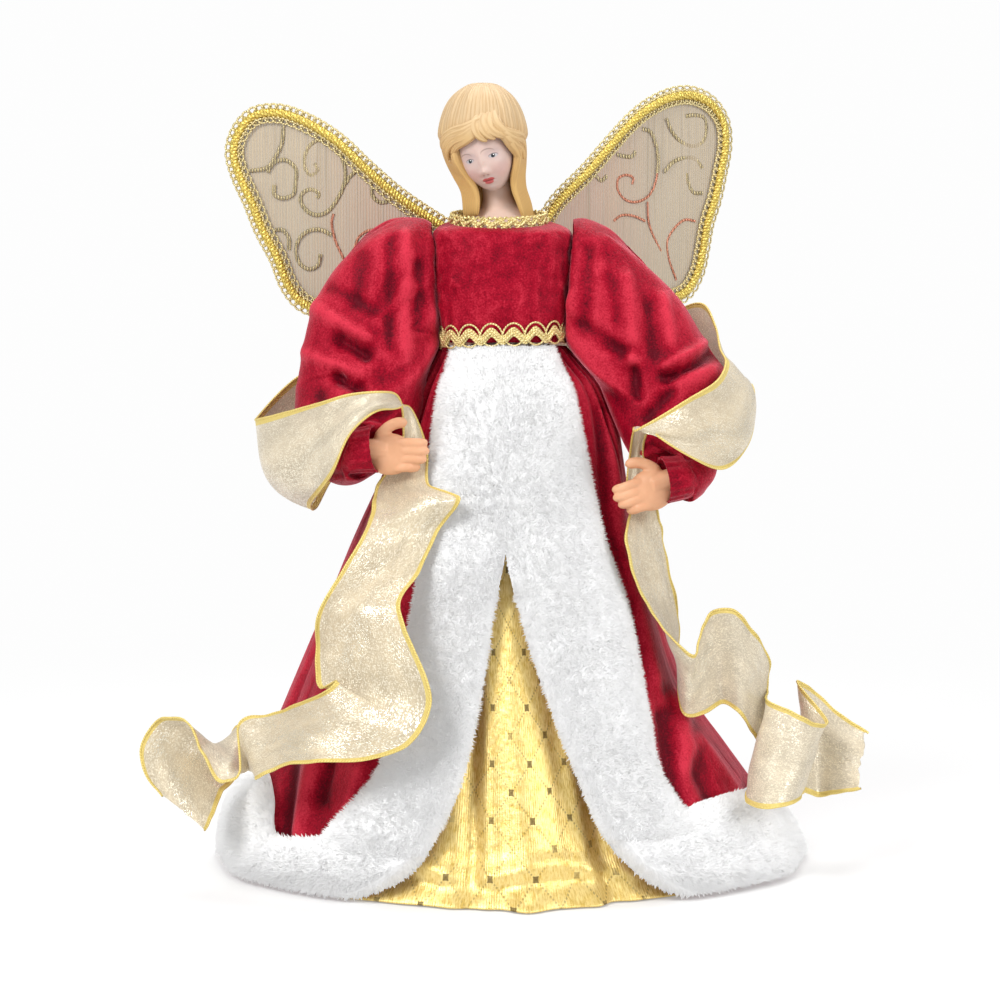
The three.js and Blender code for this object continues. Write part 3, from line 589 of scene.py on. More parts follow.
# Sizes of the dressed frame, in millimetres, as the solids have them
bodySet = {"shift": -3.0, "waist": 205.6, "shoulder": 243.0, "shoulderOut": 27.8, "squareness": 2.8}
skirtSet = {
    "hem": 85.0, "topWide": 21.0, "topDeep": 17.8, "lift": 0.8, "top": 205.0, "fold": 3.5, "folds": 7,
    "columns": 320, "rows": 120, "crowd": 1.25, "slant": 214, "girth": full * 66,
    # turn, depth and width of each tuck in the front
    "tucks": [(-0.27, 4.0, 0.06), (-0.12, 1.6, 0.05), (0.36, 4.0, 0.06), (0.20, 1.4, 0.05)],
}


def ovalPoint(angle, halfWidth, halfDepth):
    c, s = math.cos(angle), math.sin(angle)
    power = 2 / bodySet["squareness"]
    return (bodySet["shift"] + math.copysign(abs(c) ** power, c) * halfWidth,
            math.copysign(abs(s) ** power, s) * halfDepth)


def skirtSize(z):
    share = z / bodySet["waist"]
    return (mix(skirtSet["hem"], skirtSet["topWide"], share),
            mix(skirtSet["hem"], skirtSet["topDeep"], share), bodySet["shift"] * share)


def makeUnderskirt():
    def place(s, t):
        angle, z = full * (s - 0.5), mix(skirtSet["lift"], skirtSet["top"], t ** skirtSet["crowd"])
        width, depth, shift = skirtSize(z)
        low = 1 - z / bodySet["waist"]
        fold = skirtSet["fold"] * low * (0.5 + 0.5 * math.cos(skirtSet["folds"] * angle)) ** 1.6
        loose = noise.noise(Vector((math.sin(angle) * 5, math.cos(angle) * 5, z * 0.008))) * 2.2 * low
        for turn, deep, wide in skirtSet["tucks"]:
            fold -= deep * ease(low, 0.35, 0.85) * math.exp(-((angle - turn - 0.1 * low) / wide) ** 2)
        front = ease(math.cos(angle), 0.3, 0.7)
        roll = math.exp(-((z - 13 - 3 * math.sin(9 * angle)) / 4.0) ** 2) * 2.4
        spread = (1 - ease(z, 0, 10)) * (5.0 + 1.6 * math.sin(17 * angle + 2 * math.sin(5 * angle)))
        out = fold + loose + front * (roll + spread)
        return shift + math.sin(angle) * (width + out), -math.cos(angle) * (depth + out), z

    def uv(s, t):
        return s * skirtSet["girth"], mix(0, skirtSet["slant"], t ** skirtSet["crowd"])

    bm = bentGrid(skirtSet["columns"], skirtSet["rows"], place, uv, True)
    skirt = addPiece("gold_underskirt", bm, "brocade", "figure")
    addModifier(skirt, "SOLIDIFY", thickness=0.0006, offset=-1)
    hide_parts("underskirt")


coatSet = {
    "shares": [0, 0.05, 0.13, 0.22, 0.32, 0.51, 0.65, 0.83, 0.92, 0.96, 1],
    "right": [28, 25, 20, 13, 6, 5, 7, 12, 11.5, 7, 2.4],
    "left": [26, 26, 26, 23, 20, 16, 13, 7, 6, 4.2, 2.4],
    "front": [1.6, 3, 5, 5.5, 5.8, 5.6, 6.3, 6.7, 5.5, 2.6, 2.2],
    "back": [9, 9, 9, 8.5, 8, 8, 9, 9, 7, 2.6, 2.2],
    "openLeft": [61, 38, 25, 16.4, 11, 4.0, 0.6, 0.12, 0.12, 0.12, 0.12],
    "openRight": [66, 47, 32.5, 24.5, 16.4, 4.2, 0.6, 0.12, 0.12, 0.12, 0.12],
    "fold": 5.0, "folds": 9, "columns": 300, "rows": 110, "lift": 3.0, "top": 205.2, "inset": (2.6, 3.6),
    "presses": [  # x and z at both ends, width, height of each ridge or hollow on the front
        (-84, 54, -87, 18, 4.0, -4.0), (-75, 50, -81, 22, 3.6, 2.4), (-68, 54, -72, 36, 3.4, -3.0),
        (-58, 46, -62, 26, 4.0, 2.0), (65, 68, 68, 47, 3.6, 2.6), (59, 64, 62, 36, 3.6, -3.0),
        (73, 53, 88, 34, 3.0, 2.2), (70, 46, 77, 33, 3.0, -2.6), (40, 178, 43, 110, 3.4, 1.6),
        (35, 180, 37, 120, 3.0, -1.8), (46, 120, 56, 78, 3.4, 1.6), (-40, 130, -58, 76, 4.0, 1.8),
    ],
}


# Point at a distance out from the coat, the angle counted from the front towards the right
def coatPoint(angle, z, out, pleated=False):
    share = z / bodySet["waist"]
    width, depth, shift = skirtSize(z)
    s, c = math.sin(angle), math.cos(angle)
    away = ease(abs(math.sin(angle / 2)), 0.35, 0.75)
    fold = coatSet["fold"] * (1 - share) * away * (0.5 - 0.5 * math.cos(coatSet["folds"] * angle))
    width += flow(coatSet["shares"], coatSet["right" if s > 0 else "left"], share)
    depth += flow(coatSet["shares"], coatSet["front" if c > 0 else "back"], share)
    if pleated:
        gather = math.sin(44 * angle + 3 * math.sin(4 * angle)) * 0.9 * ease(share, 0.55, 0.9)
        drape = noise.noise(Vector((s * 4, c * 4, z * 0.006))) * 3.4
        drape += noise.noise(Vector((s * 11, c * 11, z * 0.011))) * 1.5
        fold += (gather + drape * ease(share, 0.0, 0.35) * (1 - 0.6 * share)) * ease(away, 0.0, 0.3)
    return Vector((shift + s * (width + fold + out), -c * (depth + fold + out), z))


# The inset is how far back from the opening a cloth stays, where the front is shut and where it is open
def coatAngle(reaches, z, side, inset=(0.0, 0.0)):
    share = z / bodySet["waist"]
    reach = flow(coatSet["shares"], reaches, share)
    reach += mix(*inset, ease(reach, 0.6, 4))
    half = skirtSize(z)[0] + flow(coatSet["shares"], coatSet["right" if side > 0 else "left"], share)
    return side * math.asin(min(0.97, reach / half))


def coatEdges(z, inset):
    return coatAngle(coatSet["openRight"], z, 1, inset), full + coatAngle(coatSet["openLeft"], z, -1, inset)


# Ridges and hollows pressed into the front of a cloth piece
def pressFolds(piece, folds):
    normals = [v.normal.copy() for v in piece.data.vertices]
    for v, normal in zip(piece.data.vertices, normals):
        front = ease(-normal.y, -0.15, 0.3)
        spot = Vector((v.co.x, v.co.z)) / mm
        move = 0.0
        for startX, startZ, endX, endZ, width, height in folds if front else []:
            start = Vector((startX, startZ))
            run = Vector((endX, endZ)) - start
            share = max(0.0, min(1.0, (spot - start).dot(run) / run.length_squared))
            move += height * math.exp(-((spot - start - run * share).length / width) ** 2)
        v.co += normal * (move * front * mm)
    piece.data.update()


# Where the points of a piece would lie after some rounds of smoothing
def smoothed(piece, passes):
    bm = bmesh.new()
    bm.from_mesh(piece.data)
    inside = [v for v in bm.verts if not v.is_boundary]
    for i in range(passes):
        bmesh.ops.smooth_vert(bm, verts=inside, factor=0.5, use_axis_x=True, use_axis_y=True, use_axis_z=True)
    bm.verts.ensure_lookup_table()
    places = [v.co.copy() for v in bm.verts]
    bm.free()
    return places


# Stores how far each point stands above or below a smoothed copy of its cloth, which the velvet paints as
# shade: lighter on ridges, darker in hollows
def markFoldShade(piece, passes, height):
    rises = [(v.co - place).dot(v.normal) for v, place in zip(piece.data.vertices, smoothed(piece, passes))]
    usual = sum(rises) / len(rises)
    crest = piece.data.attributes.new("crest", "FLOAT", "POINT")
    for i, rise in enumerate(rises):
        crest.data[i].value = max(-1.0, min(1.0, (rise - usual) / (height * mm)))


def makeCoat():
    def place(s, t):
        z = mix(coatSet["lift"], coatSet["top"], t)
        return coatPoint(mix(*coatEdges(z, coatSet["inset"]), s), z, 0, True)

    bm = bentGrid(coatSet["columns"], coatSet["rows"], place, lambda s, t: (s * 420, t * 210))
    coat = addPiece("velvet_coat", bm, "velvet", "figure")
    pressFolds(coat, coatSet["presses"])
    markFoldShade(coat, 24, 1.2)
    addModifier(coat, "SOLIDIFY", thickness=0.0009, offset=-1)
    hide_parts("coat")


furSet = {
    "fronts": {  # side, columns, seed and how far out the band reaches
        "left": (-1, 96, 3, [80, 78, 66, 49.5, 42, 35, 30, 26, 23, 20, 19]),
        "right": (1, 100, 4, [80, 78, 68, 56, 52, 45, 36, 29, 25, 21, 19]),
    },
    "rows": 420, "hemGrid": (840, 52), "hemSeed": 5,
    "depth": 7.0, "gap": 0.8, "pile": 2.6, "lift": 2.4, "inset": (-1.0, 1.2), "hemTurn": 0.5,
    "hemTurns": [0.5, 0.75, 1.0, 1.2, 1.5, 2.2, 3.1, 4.2, 4.62, 4.86, 5.05, 5.2, 5.33, 5.49, 5.64, 5.9],
    "hemTops": [30, 31.5, 33.5, 33, 30, 28, 29, 32, 36, 40, 39, 32, 20, 20.5, 23, 26],
    "swell": ([0, 0.06, 0.16, 0.4, 0.7, 0.9, 1], [0.1, 0.6, 0.9, 1, 0.92, 0.55, 0.02]),
    "hemSwell": ([0, 0.1, 0.3, 0.5, 0.7, 0.9, 1], [0.02, 0.55, 0.92, 1, 0.92, 0.55, 0.02]),
}


# Short white pile: each face of the skin is poked and its middle drawn out to a tip
def growPile(bm, seed):
    bm.normal_update()
    if sum(f.normal.dot(f.calc_center_median().xy.to_3d()) for f in bm.faces) < 0:
        bmesh.ops.reverse_faces(bm, faces=bm.faces)
    tips = bmesh.ops.poke(bm, faces=bm.faces[:])["verts"]
    bm.normal_update()
    pick = random.Random(seed)
    noise.seed_set(seed)  # the vector noise would differ from run to run
    for tip in tips:
        comb = noise.noise_vector(tip.co * 75) * 0.22 + noise.noise_vector(tip.co * 400) * 0.3
        reach = furSet["pile"] * pick.uniform(0.5, 1.1) * mm
        jitter = Vector((pick.uniform(-1, 1), pick.uniform(-1, 1), pick.uniform(-1, 1))) * 0.3
        tip.co += (tip.normal + comb + jitter + Vector((0, 0, -0.25))).normalized() * reach
        tip.co.z = max(tip.co.z, 0.3 * mm)


def furHeight(swell, share, angle, z):
    tuft = noise.noise(Vector((angle * 6, z * 0.09, 0))) * 0.4
    tuft += noise.noise(Vector((angle * 17, z * 0.25, 4))) * 0.3
    return furSet["gap"] + (furSet["depth"] - 2.3 + tuft) * flow(*furSet[swell], share)


def hemTop(angle):
    return flow(furSet["hemTurns"], furSet["hemTops"], angle % full)


def makeFrontFur(name):
    side, columns, seed, reaches = furSet["fronts"][name]

    def place(s, t):
        z = mix(hemTop(side * furSet["hemTurn"]) - 6, bodySet["waist"] - 0.4, t)
        edges = coatEdges(z, furSet["inset"])
        inner = edges[0] if side > 0 else edges[1] - full
        angle = mix(inner, coatAngle(reaches, z, side), s)
        closed = 1 - ease(side * inner, 0.02, 0.06)
        height = furHeight("swell", mix(s, max(s, 0.3), closed), angle, z)
        return coatPoint(angle, z, height * mix(1, 0.2, ease(t, 0.955, 1)))

    bm = bentGrid(columns, furSet["rows"], place)
    growPile(bm, seed)
    fur = addPiece(name + "_fur_band", bm, "fur", "figure")
    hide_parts(name + "_front_fur")


def makeHemFur():
    def place(s, t):
        about = mix(*coatEdges(27, furSet["inset"]), s)
        side = 1 if s < 0.5 else -1
        high = mix(hemTop(about), hemTop(side * furSet["hemTurn"]), ease(abs(s - 0.5), 0.44, 0.48))
        z = mix(furSet["lift"], high, t)
        end = ease(min(s, 1 - s), 0, 0.011)
        height = furHeight("hemSwell", mix(0.06, 1, t), about, z) * mix(-0.1, 1, end)
        return coatPoint(mix(*coatEdges(z, furSet["inset"]), s), z, height)

    bm = bentGrid(*furSet["hemGrid"], place)
    growPile(bm, furSet["hemSeed"])
    fur = addPiece("hem_fur_band", bm, "fur", "figure")
    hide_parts("hem_fur")


makeUnderskirt()
makeCoat()
makeFrontFur("left")
makeFrontFur("right")
makeHemFur()
print("skirts and fur made")

bodiceSet = {
    "base": 206.4, "height": 47.4, "shares": [0, 0.15, 0.3, 0.63, 0.82, 0.92, 0.97, 1],
    "wide": [24.0, 25.5, 26.2, 27.4, 27.4, 26.8, 23.6, 17.6],
    "deep": [18.4, 19.3, 20.0, 20.4, 19.8, 18.6, 16.8, 14.8],
    "tilt": [0, 0, 0, 0, 0, 1.0, 2.0, 2.6], "lean": [0, 0, 0, 0, 0, -0.2, -0.8, -1.4],
}


def makeBodice():
    def place(s, t):
        keys = ("wide", "deep", "tilt", "lean")
        wide, deep, tilt, lean = (flow(bodiceSet["shares"], bodiceSet[key], t) for key in keys)
        angle = full * s
        c, s = math.cos(angle), math.sin(angle)
        pull = 0.4 * math.sin(30 * angle + 2 * math.sin(7 * angle)) * (1 - ease(t, 0.0, 0.35))
        pull += 0.8 * noise.noise(Vector((c * 3, s * 3, t * 5)))
        pull += 0.5 * noise.noise(Vector((c * 9, s * 3, t * 14)))
        pull *= 1 - ease(t, 0.9, 1)
        x, y = ovalPoint(angle, wide + pull, deep + pull)
        return x + lean, y, bodiceSet["base"] + t * bodiceSet["height"] + tilt * y / deep

    bm = bentGrid(140, 56, place, lambda s, t: (s * 150, t * 47), True)
    bodice = addPiece("velvet_bodice", bm, "velvet", "figure")
    markFoldShade(bodice, 12, 1.2)
    addModifier(bodice, "SOLIDIFY", thickness=0.0008, offset=-1)
    subdivide(bodice)
    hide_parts("bodice")


collarSet = {"wide": 18.6, "deep": 15.8, "height": 254.8, "tilt": 2.4, "shift": -1.4, "cords": [
    {"swing": 0.9, "weave": 0.4, "radius": 0.62, "shift": -0.9},
    {"swing": 0.9, "weave": -0.4, "radius": 0.62, "shift": 0.0, "out": 0.3},
    {"swing": 0.9, "weave": 0.4, "radius": 0.62, "shift": 0.9},
    {"period": 2.2, "swing": 0.35, "weave": 0.3, "radius": 0.5, "shift": 2.0},
    {"swing": 1.8, "along": 0.5, "radius": 0.42, "shift": -2.2, "phase": 0.5, "out": 0.3},
], "all": {"period": 5.4}}
waistSet = {"wide": 24.7, "deep": 21.8, "height": 209.4, "tilt": 1.2, "cords": [
    {"swing": 1.6, "weave": 0.3, "radius": 0.58, "shift": -1.7},
    {"swing": 1.6, "weave": -0.3, "radius": 0.62, "shift": -0.8, "out": 0.3},
    {"swing": 1.6, "weave": 0.3, "radius": 0.62, "shift": 0.1, "out": 0.3},
    {"swing": 1.6, "weave": -0.3, "radius": 0.58, "shift": 1.0},
    {"swing": 2.7, "along": 1.6, "radius": 0.40, "shift": 1.9},
    {"swing": -2.2, "along": 1.4, "radius": 0.40, "shift": -1.9, "out": 0.2},
], "all": {"period": 8.6, "steps": 16}}


def collarPoint(angle):
    c, s = math.cos(angle), math.sin(angle)
    return Vector((bodySet["shift"] + collarSet["shift"] + collarSet["wide"] * c, collarSet["deep"] * s,
                   collarSet["height"] + collarSet["tilt"] * s))


def waistPoint(angle):
    x, y = ovalPoint(angle, waistSet["wide"], waistSet["deep"])
    return Vector((x, y, waistSet["height"] + waistSet["tilt"] * math.cos(angle)))


# Braid of looped cords round the body
def makeTrim(name, node, trimSet, pointAt):
    def outward(p):
        return Vector((p.x - bodySet["shift"], p.y * 1.3, 0)).normalized()

    ring = [pointAt(full * i / 240) for i in range(240)]
    bm = bmesh.new()
    for cord in trimSet["cords"]:
        gimp(bm, ring, outward, {**trimSet["all"], **cord}, True)
    trim = addPiece(name, bm, "trim", "figure")
    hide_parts(node)


makeBodice()
makeTrim("collar_gimp", "collar_braid", collarSet, collarPoint)
makeTrim("waist_gimp", "waist_braid", waistSet, waistPoint)
print("bodice and trims made")

armSet = {  # puff and path run from the armhole to the wrist
    "left": {
        "side": -1, "drop": 0, "head": 0.74, "slim": (4.0, 0.36), "elbow": 0, "cuff": (7.6, -1.6, 0.8),
        "sag": 8,
        "puff": [15, 18, 22, 25, 25, 19, 13, 10],
        "path": [(0, 0, 0), (5, 0, 0), (13, 0, -5), (28, 1, -25), (31, -7, -54), (35, -23, -70),
                 (33, -35, -75), (28, -41, -77)],
    },
    "right": {
        "side": 1, "drop": -18, "head": 0.86, "slim": (9.6, 0.29), "elbow": 6.5, "cuff": (-7.6, -1.8, -1.4),
        "sag": 6,
        "puff": [15, 18, 22, 24, 21, 17, 12, 10],
        "path": [(0, 0, 0), (5, 0, 0), (13, 0, -4), (28, 1, -24), (37, -4, -50), (42, -18, -73),
                 (45, -29, -83), (41, -35, -87)],
    },
}
sleeveSet = {
    "around": 96, "along": 112, "steps": 26, "most": 7.0, "lap": 2.2,
    "armhole": 1.2, "cuff": 12.0, "cuffSize": 10.4,
    "folds": {  # x and z at both ends, width, height of each ridge or hollow on the front
        "left": [(-77, 220.5, -55, 208, 2.2, 2.5), (-66, 208, -55.5, 202.5, 2.6, -5.2),
                 (-80, 203, -64, 196.5, 2.0, 2.2), (-66, 193.5, -58, 189.5, 2.6, -4.8),
                 (-40.6, 248, -39, 228, 3.0, 2.0), (-39, 228, -41.4, 199, 3.0, 2.2),
                 (-35, 236, -36, 214, 2.8, -2.2), (-46.5, 246, -47, 206, 3.0, -1.9),
                 (-58, 240, -60, 222, 4.5, -1.6), (-74, 186, -70, 176, 3.0, -1.8),
                 (-70, 228, -52, 219, 2.4, -1.6), (-50, 214, -46, 196, 2.2, 1.6)],
        "right": [(81, 207.5, 60, 197.5, 2.0, 2.8), (79, 203, 60, 193.5, 2.2, -5.0),
                  (46.5, 200.8, 47.5, 199.5, 2.0, 3.2), (47.5, 196, 48.5, 186, 1.8, -4.2),
                  (43, 203, 37, 206, 2.2, -2.8), (30, 243, 28.5, 214, 2.4, -2.0),
                  (59, 224, 62, 207, 2.4, 2.0), (53.5, 222, 55, 203, 2.4, -2.2),
                  (37, 240, 40, 216, 3.4, -1.3), (62, 188, 52, 178, 2.2, -2.4),
                  (45, 232, 47, 208, 2.6, 1.5)],
    },
    "beside": {  # heights, and how far in towards the body the cloth lies at each
        "left": ([176, 184, 190, 197, 205, 215, 219, 226, 236, 246, 252],
                 [50, 40, 36, 32, 27.4, 27.4, 27.9, 28.5, 29.2, 29.4, 32.4]),
        "right": ([176, 184, 190, 198, 206, 215, 219, 226, 236, 246, 252],
                  [50.4, 42, 35.8, 28, 21.6, 21.7, 22.2, 22.7, 23.3, 23.4, 26.4]),
    },
}
clothSet = {
    "quality": 6, "mass": 0.2, "tension_stiffness": 15, "compression_stiffness": 15, "shear_stiffness": 6,
    "bending_stiffness": 0.25, "vertex_group_mass": "held", "shrink_min": -0.16, "use_pressure": True,
    "uniform_pressure_force": 2.6,
}


def armLine(arm):
    side = arm["side"]
    start = Vector((bodySet["shift"] + side * bodySet["shoulderOut"], 0, bodySet["shoulder"]))
    return [start + Vector((side * out, y, z)) for out, y, z in arm["path"]]


# Velvet with spare length, held at the armhole and the cuff
def slacken(piece, held):
    size = 10  # the cloth solver is steadier on a larger copy
    mesh = piece.data
    start = [v.co.copy() for v in mesh.vertices]
    for v in mesh.vertices:
        v.co *= size
    group = piece.vertex_groups.new(name="held")
    group.add(held, 1.0, "REPLACE")
    cloth = addModifier(piece, "CLOTH")
    for key, value in clothSet.items():
        setattr(cloth.settings, key, value)
    cloth.settings.effector_weights.gravity = 0.25
    cloth.collision_settings.use_collision = False
    for step in range(1, sleeveSet["steps"] + 1):
        scene.frame_set(step)
    shaped = piece.evaluated_get(bpy.context.evaluated_depsgraph_get()).data
    moves = [v.co / size - was for v, was in zip(shaped.vertices, start)]
    piece.modifiers.clear()
    piece.vertex_groups.clear()
    most = sleeveSet["most"] * mm
    for v, was in zip(mesh.vertices, start):
        v.co = was
    mesh.update()
    normals = [v.normal.copy() for v in mesh.vertices]
    for v, normal, move in zip(mesh.vertices, normals, moves):
        move = move - normal * (min(0.0, move.dot(normal)) * 0.6)  # the stuffing keeps the sleeve out
        if normal.y > 0:
            move.y = min(move.y, 0.0)  # the wing stands close behind
        v.co += move * (math.tanh(move.length / most) * most / max(move.length, 1e-9))
    mesh.update()
    scene.frame_set(1)
    print(piece.name, "slackened, furthest move", round(max(m.length for m in moves) / mm, 1), "mm")


# The inner side of the sleeve falls against the bodice and the coat, and its front laps the bodice
def lieBeside(piece, side, beside):
    for v, even in zip(piece.data.vertices, smoothed(piece, 90)):
        gap = side * even.x / mm - flow(*beside, even.z / mm)
        v.co = v.co.lerp(even, (1 - ease(gap, 6, 16)) * ease(even.z / mm, 184, 198))
    piece.data.update()
    gaps = []
    for v in piece.data.vertices:
        x, y, z = v.co / mm
        lap = sleeveSet["lap"] * ease(-y, 11, 16) * ease(z, 204, 210) * (1 - ease(z, 236, 244))
        gaps.append(side * x - flow(*beside, z) + lap)
        facing = ease(-side * v.normal.x, 0.05, 0.55)
        if facing and gaps[-1] > 0:
            v.co.x -= side * gaps[-1] * facing * (1 - ease(gaps[-1], 9, 18)) * ease(z, 180, 196) * mm
    piece.data.update()
    for v, gap, even in zip(piece.data.vertices, gaps, smoothed(piece, 24)):
        v.co = v.co.lerp(even, (1 - ease(gap, 3, 12)) * ease(v.co.z / mm, 184, 198))


def makeSleeve(name, arm):
    side = arm["side"]
    line = armLine(arm)
    line.append(line[-1] + Vector(arm["cuff"]))
    puff = arm["puff"] + [sleeveSet["cuffSize"]]
    places = [i / (len(line) - 1) for i in range(len(line))]
    up, rings = Vector((0, 0, 1)), []
    for i in range(sleeveSet["along"] + 1):
        t = i / sleeveSet["along"]
        ahead = (splineAt(line, min(1, t + 0.004)) - splineAt(line, max(0, t - 0.004))).normalized()
        up = (up - ahead * up.dot(ahead)).normalized()
        rings.append((splineAt(line, t), ahead.cross(up), up))

    def place(s, t):
        p, across, lift = rings[round(t * sleeveSet["along"])]
        angle = -full * s
        size = (flow(places, puff, t) - 1.2) * mix(arm["head"], 1, ease(t, 0, 0.12))
        slim, centre = arm["slim"]
        outer = max(0.0, math.sin(angle)) ** 0.8
        bulge = arm["elbow"] * math.exp(-((t - 0.52) / 0.06) ** 2)
        size += outer * (bulge - slim * math.exp(-((t - centre) / 0.125) ** 2))
        size *= 1 + 0.05 * math.sin(math.pi * t) * math.cos(4 * angle + 9 * t)
        gather = math.sin(23 * angle + 2 * math.sin(5 * angle)) + 0.6 * math.sin(37 * angle + 1)
        size += 0.55 * gather * (1 - ease(t, 0.02, 0.26)) * ease(t, 0.0, 0.04)
        size += 0.35 * math.sin(17 * angle + math.sin(3 * angle)) * ease(t, 0.84, 0.95)
        hang = arm["sag"] * math.exp(-((t - 0.9) / 0.1) ** 2) * max(0.0, -math.sin(angle)) ** 2
        return p + across * (math.cos(angle) * size) + lift * (math.sin(angle) * size) - Vector((0, 0, hang))

    bm = bentGrid(sleeveSet["around"], sleeveSet["along"], place, lambda s, t: (s * 120, t * 130), True)
    sleeve = addPiece(name + "_velvet_sleeve", bm, "velvet")
    ends = [v.index for v in sleeve.data.vertices
            if abs(v.co.x - line[0].x * mm) < sleeveSet["armhole"] * mm
            or (v.co - line[-1] * mm).length < sleeveSet["cuff"] * mm]
    slacken(sleeve, ends)
    lieBeside(sleeve, side, sleeveSet["beside"][name])
    for v, even in zip(sleeve.data.vertices, smoothed(sleeve, 4)):
        v.co = even
    sleeve.data.update()
    pressFolds(sleeve, sleeveSet["folds"][name])
    markFoldShade(sleeve, 24, 1.3)
    addModifier(sleeve, "SOLIDIFY", thickness=0.0009, offset=-1)
    subdivide(sleeve)
    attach(sleeve, name + "_arm")
    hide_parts(name + "_sleeve", name + "_arm_filling")


handSet = {
    "reach": 4.0, "palm": (9, 0, -1.5), "palmSize": (9.2, 4.4, 8.0), "wrist": 4.6, "knuckle": 2.8,
    "reaches": [23.6, 24.2, 23.2, 20.8], "pitch": 3.1, "finger": 1.9, "voxel": 0.4,
    "thumb": [(4, 0.4, 4), (8, 0.4, 8.4), (11.5, 0.6, 10.2), (16, 0.9, 10.6)], "thumbSize": 2.2,
}


def makeHand(name, arm):
    side = arm["side"]
    lean = Matrix.Rotation(math.radians(arm["drop"]), 3, "Y")
    inward = lean @ Vector((-side, 0, 0))
    wrist = armLine(arm)[-1] + inward * handSet["reach"]

    def spot(x, y, z):
        return wrist + lean @ Vector((-side * x, y, z))

    def rounded(radius, tip):
        def size(s):
            past = max(0.0, (s - 1 + tip) / tip)
            return radius * math.sqrt(max(0.0, 1 - past ** 2)) * ease(s, -0.15, 0.1)

        return size

    bm = bmesh.new()
    forearm = [spot(x, 0, 0) for x in (-8, -5, 0, 4, 8)]
    tube(bm, forearm, lambda s: handSet["wrist"] * (1 + 0.1 * s), 16, flat=0.9)
    for v in bmesh.ops.create_uvsphere(bm, u_segments=24, v_segments=16, radius=1)["verts"]:
        v.co = spot(*(p + a * b for p, a, b in zip(handSet["palm"], v.co, handSet["palmSize"]))) * mm
    for i, reach in enumerate(handSet["reaches"]):
        z = handSet["knuckle"] - handSet["pitch"] * i
        line = [spot(8, 0, z * 0.8), spot(12, -1.6, z), spot(16, -2.2, z + 0.2), spot(reach - 4, -1.7, z),
                spot(reach, 1.4, z + 0.1)]
        tube(bm, smoothLine(line, 14), rounded(handSet["finger"], 0.2), 12)
    thumb = smoothLine([spot(*p) for p in handSet["thumb"]], 12)
    tube(bm, thumb, rounded(handSet["thumbSize"], 0.25), 12)
    bmesh.ops.holes_fill(bm, edges=bm.edges, sides=40)
    bmesh.ops.recalc_face_normals(bm, faces=bm.faces)
    rough = addPiece(name + "_rough", bm, "hand")
    addModifier(rough, "REMESH", mode="VOXEL", voxel_size=handSet["voxel"] * mm)
    addModifier(rough, "SMOOTH", factor=0.5, iterations=4)
    bpy.context.view_layer.update()
    mesh = bpy.data.meshes.new_from_object(rough.evaluated_get(bpy.context.evaluated_depsgraph_get()))
    bpy.data.objects.remove(rough)
    mesh.shade_smooth()
    hand = bpy.data.objects.new(name + "_moulded_hand", mesh)
    mesh.materials.clear()
    mesh.materials.append(finishes["hand"])
    scene.collection.objects.link(hand)
    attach(hand, name + "_arm")
    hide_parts(name + "_hand")


for name, arm in armSet.items():
    makeSleeve(name, arm)
    makeHand(name, arm)
print("arms made")

faceSet = {
    "half": (10.6, 12.6, 16.0),
    "moulds": [  # out, up, wide, high, height of each swelling, mirrored when out isn't 0
        (4.75, -1.7, 3.0, 2.1, -1.2), (4.75, -2.3, 1.9, 1.1, 0.55), (0, -3.6, 1.3, 3.4, 1.2),
        (0, -7.6, 1.6, 1.5, 2.1), (1.5, -8.2, 1.0, 0.9, 0.5), (6.0, -7.4, 4.0, 3.8, 0.9),
        (0, -10.6, 2.5, 0.75, 0.65), (0, -12.0, 2.0, 0.8, 0.75), (0, -11.25, 2.5, 0.3, -0.4),
        (0, -14.3, 2.8, 1.7, 1.0), (0, -13.1, 2.0, 0.6, -0.4),
    ],
}
neckSet = {
    "heights": [247.9, 251, 254, 257, 260, 264, 269, 274, 279],
    "wide": [15.4, 15.0, 13.4, 10.2, 7.4, 5.9, 5.7, 5.9, 6.2],
    "deep": [12.4, 12.1, 11.0, 9.0, 7.2, 6.0, 5.8, 6.0, 6.2],
    "x": [-3, -3, -3.1, -3.4, -4.0, -4.8, -5.9, -7.0, -8.0],
    "y": [0, 0, 0.2, 0.6, 0.8, 0.4, -0.8, -2.2, -3.5],
}


def onHead(x, y, z):
    return Vector(headSet["centre"]) + headTurn @ Vector((x, y, z))


def makeFace():
    bm = bmesh.new()
    bmesh.ops.create_uvsphere(bm, u_segments=150, v_segments=110, radius=1)
    wide, deep, high = faceSet["half"]
    for v in bm.verts:
        x, y, z = v.co
        jaw = 1 - 0.2 * max(0.0, -z) ** 3
        x, y, z = x * wide * jaw, y * deep * (1 - 0.16 * max(0.0, -z) ** 2), z * high
        if y < 0:
            fore = ease(-y, 0.5, 5)
            for out, up, w, h, swell in faceSet["moulds"]:
                for centre in {out, -out}:
                    y -= swell * fore * math.exp(-((x - centre) / w) ** 2 - ((z - up) / h) ** 2)
        v.co = onHead(x, y, z) * mm
    face = addPiece("painted_face", bm, "face", "figure")
    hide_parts("bust")

    def place(s, t):
        z = mix(neckSet["heights"][0], neckSet["heights"][-1], t)
        wide, deep, x, y = (flow(neckSet["heights"], neckSet[key], z) for key in ("wide", "deep", "x", "y"))
        return x + wide * math.cos(full * s), y + deep * math.sin(full * s), z

    addPiece("neck_and_shoulders", bentGrid(48, 40, place, None, True), "skin", "figure")


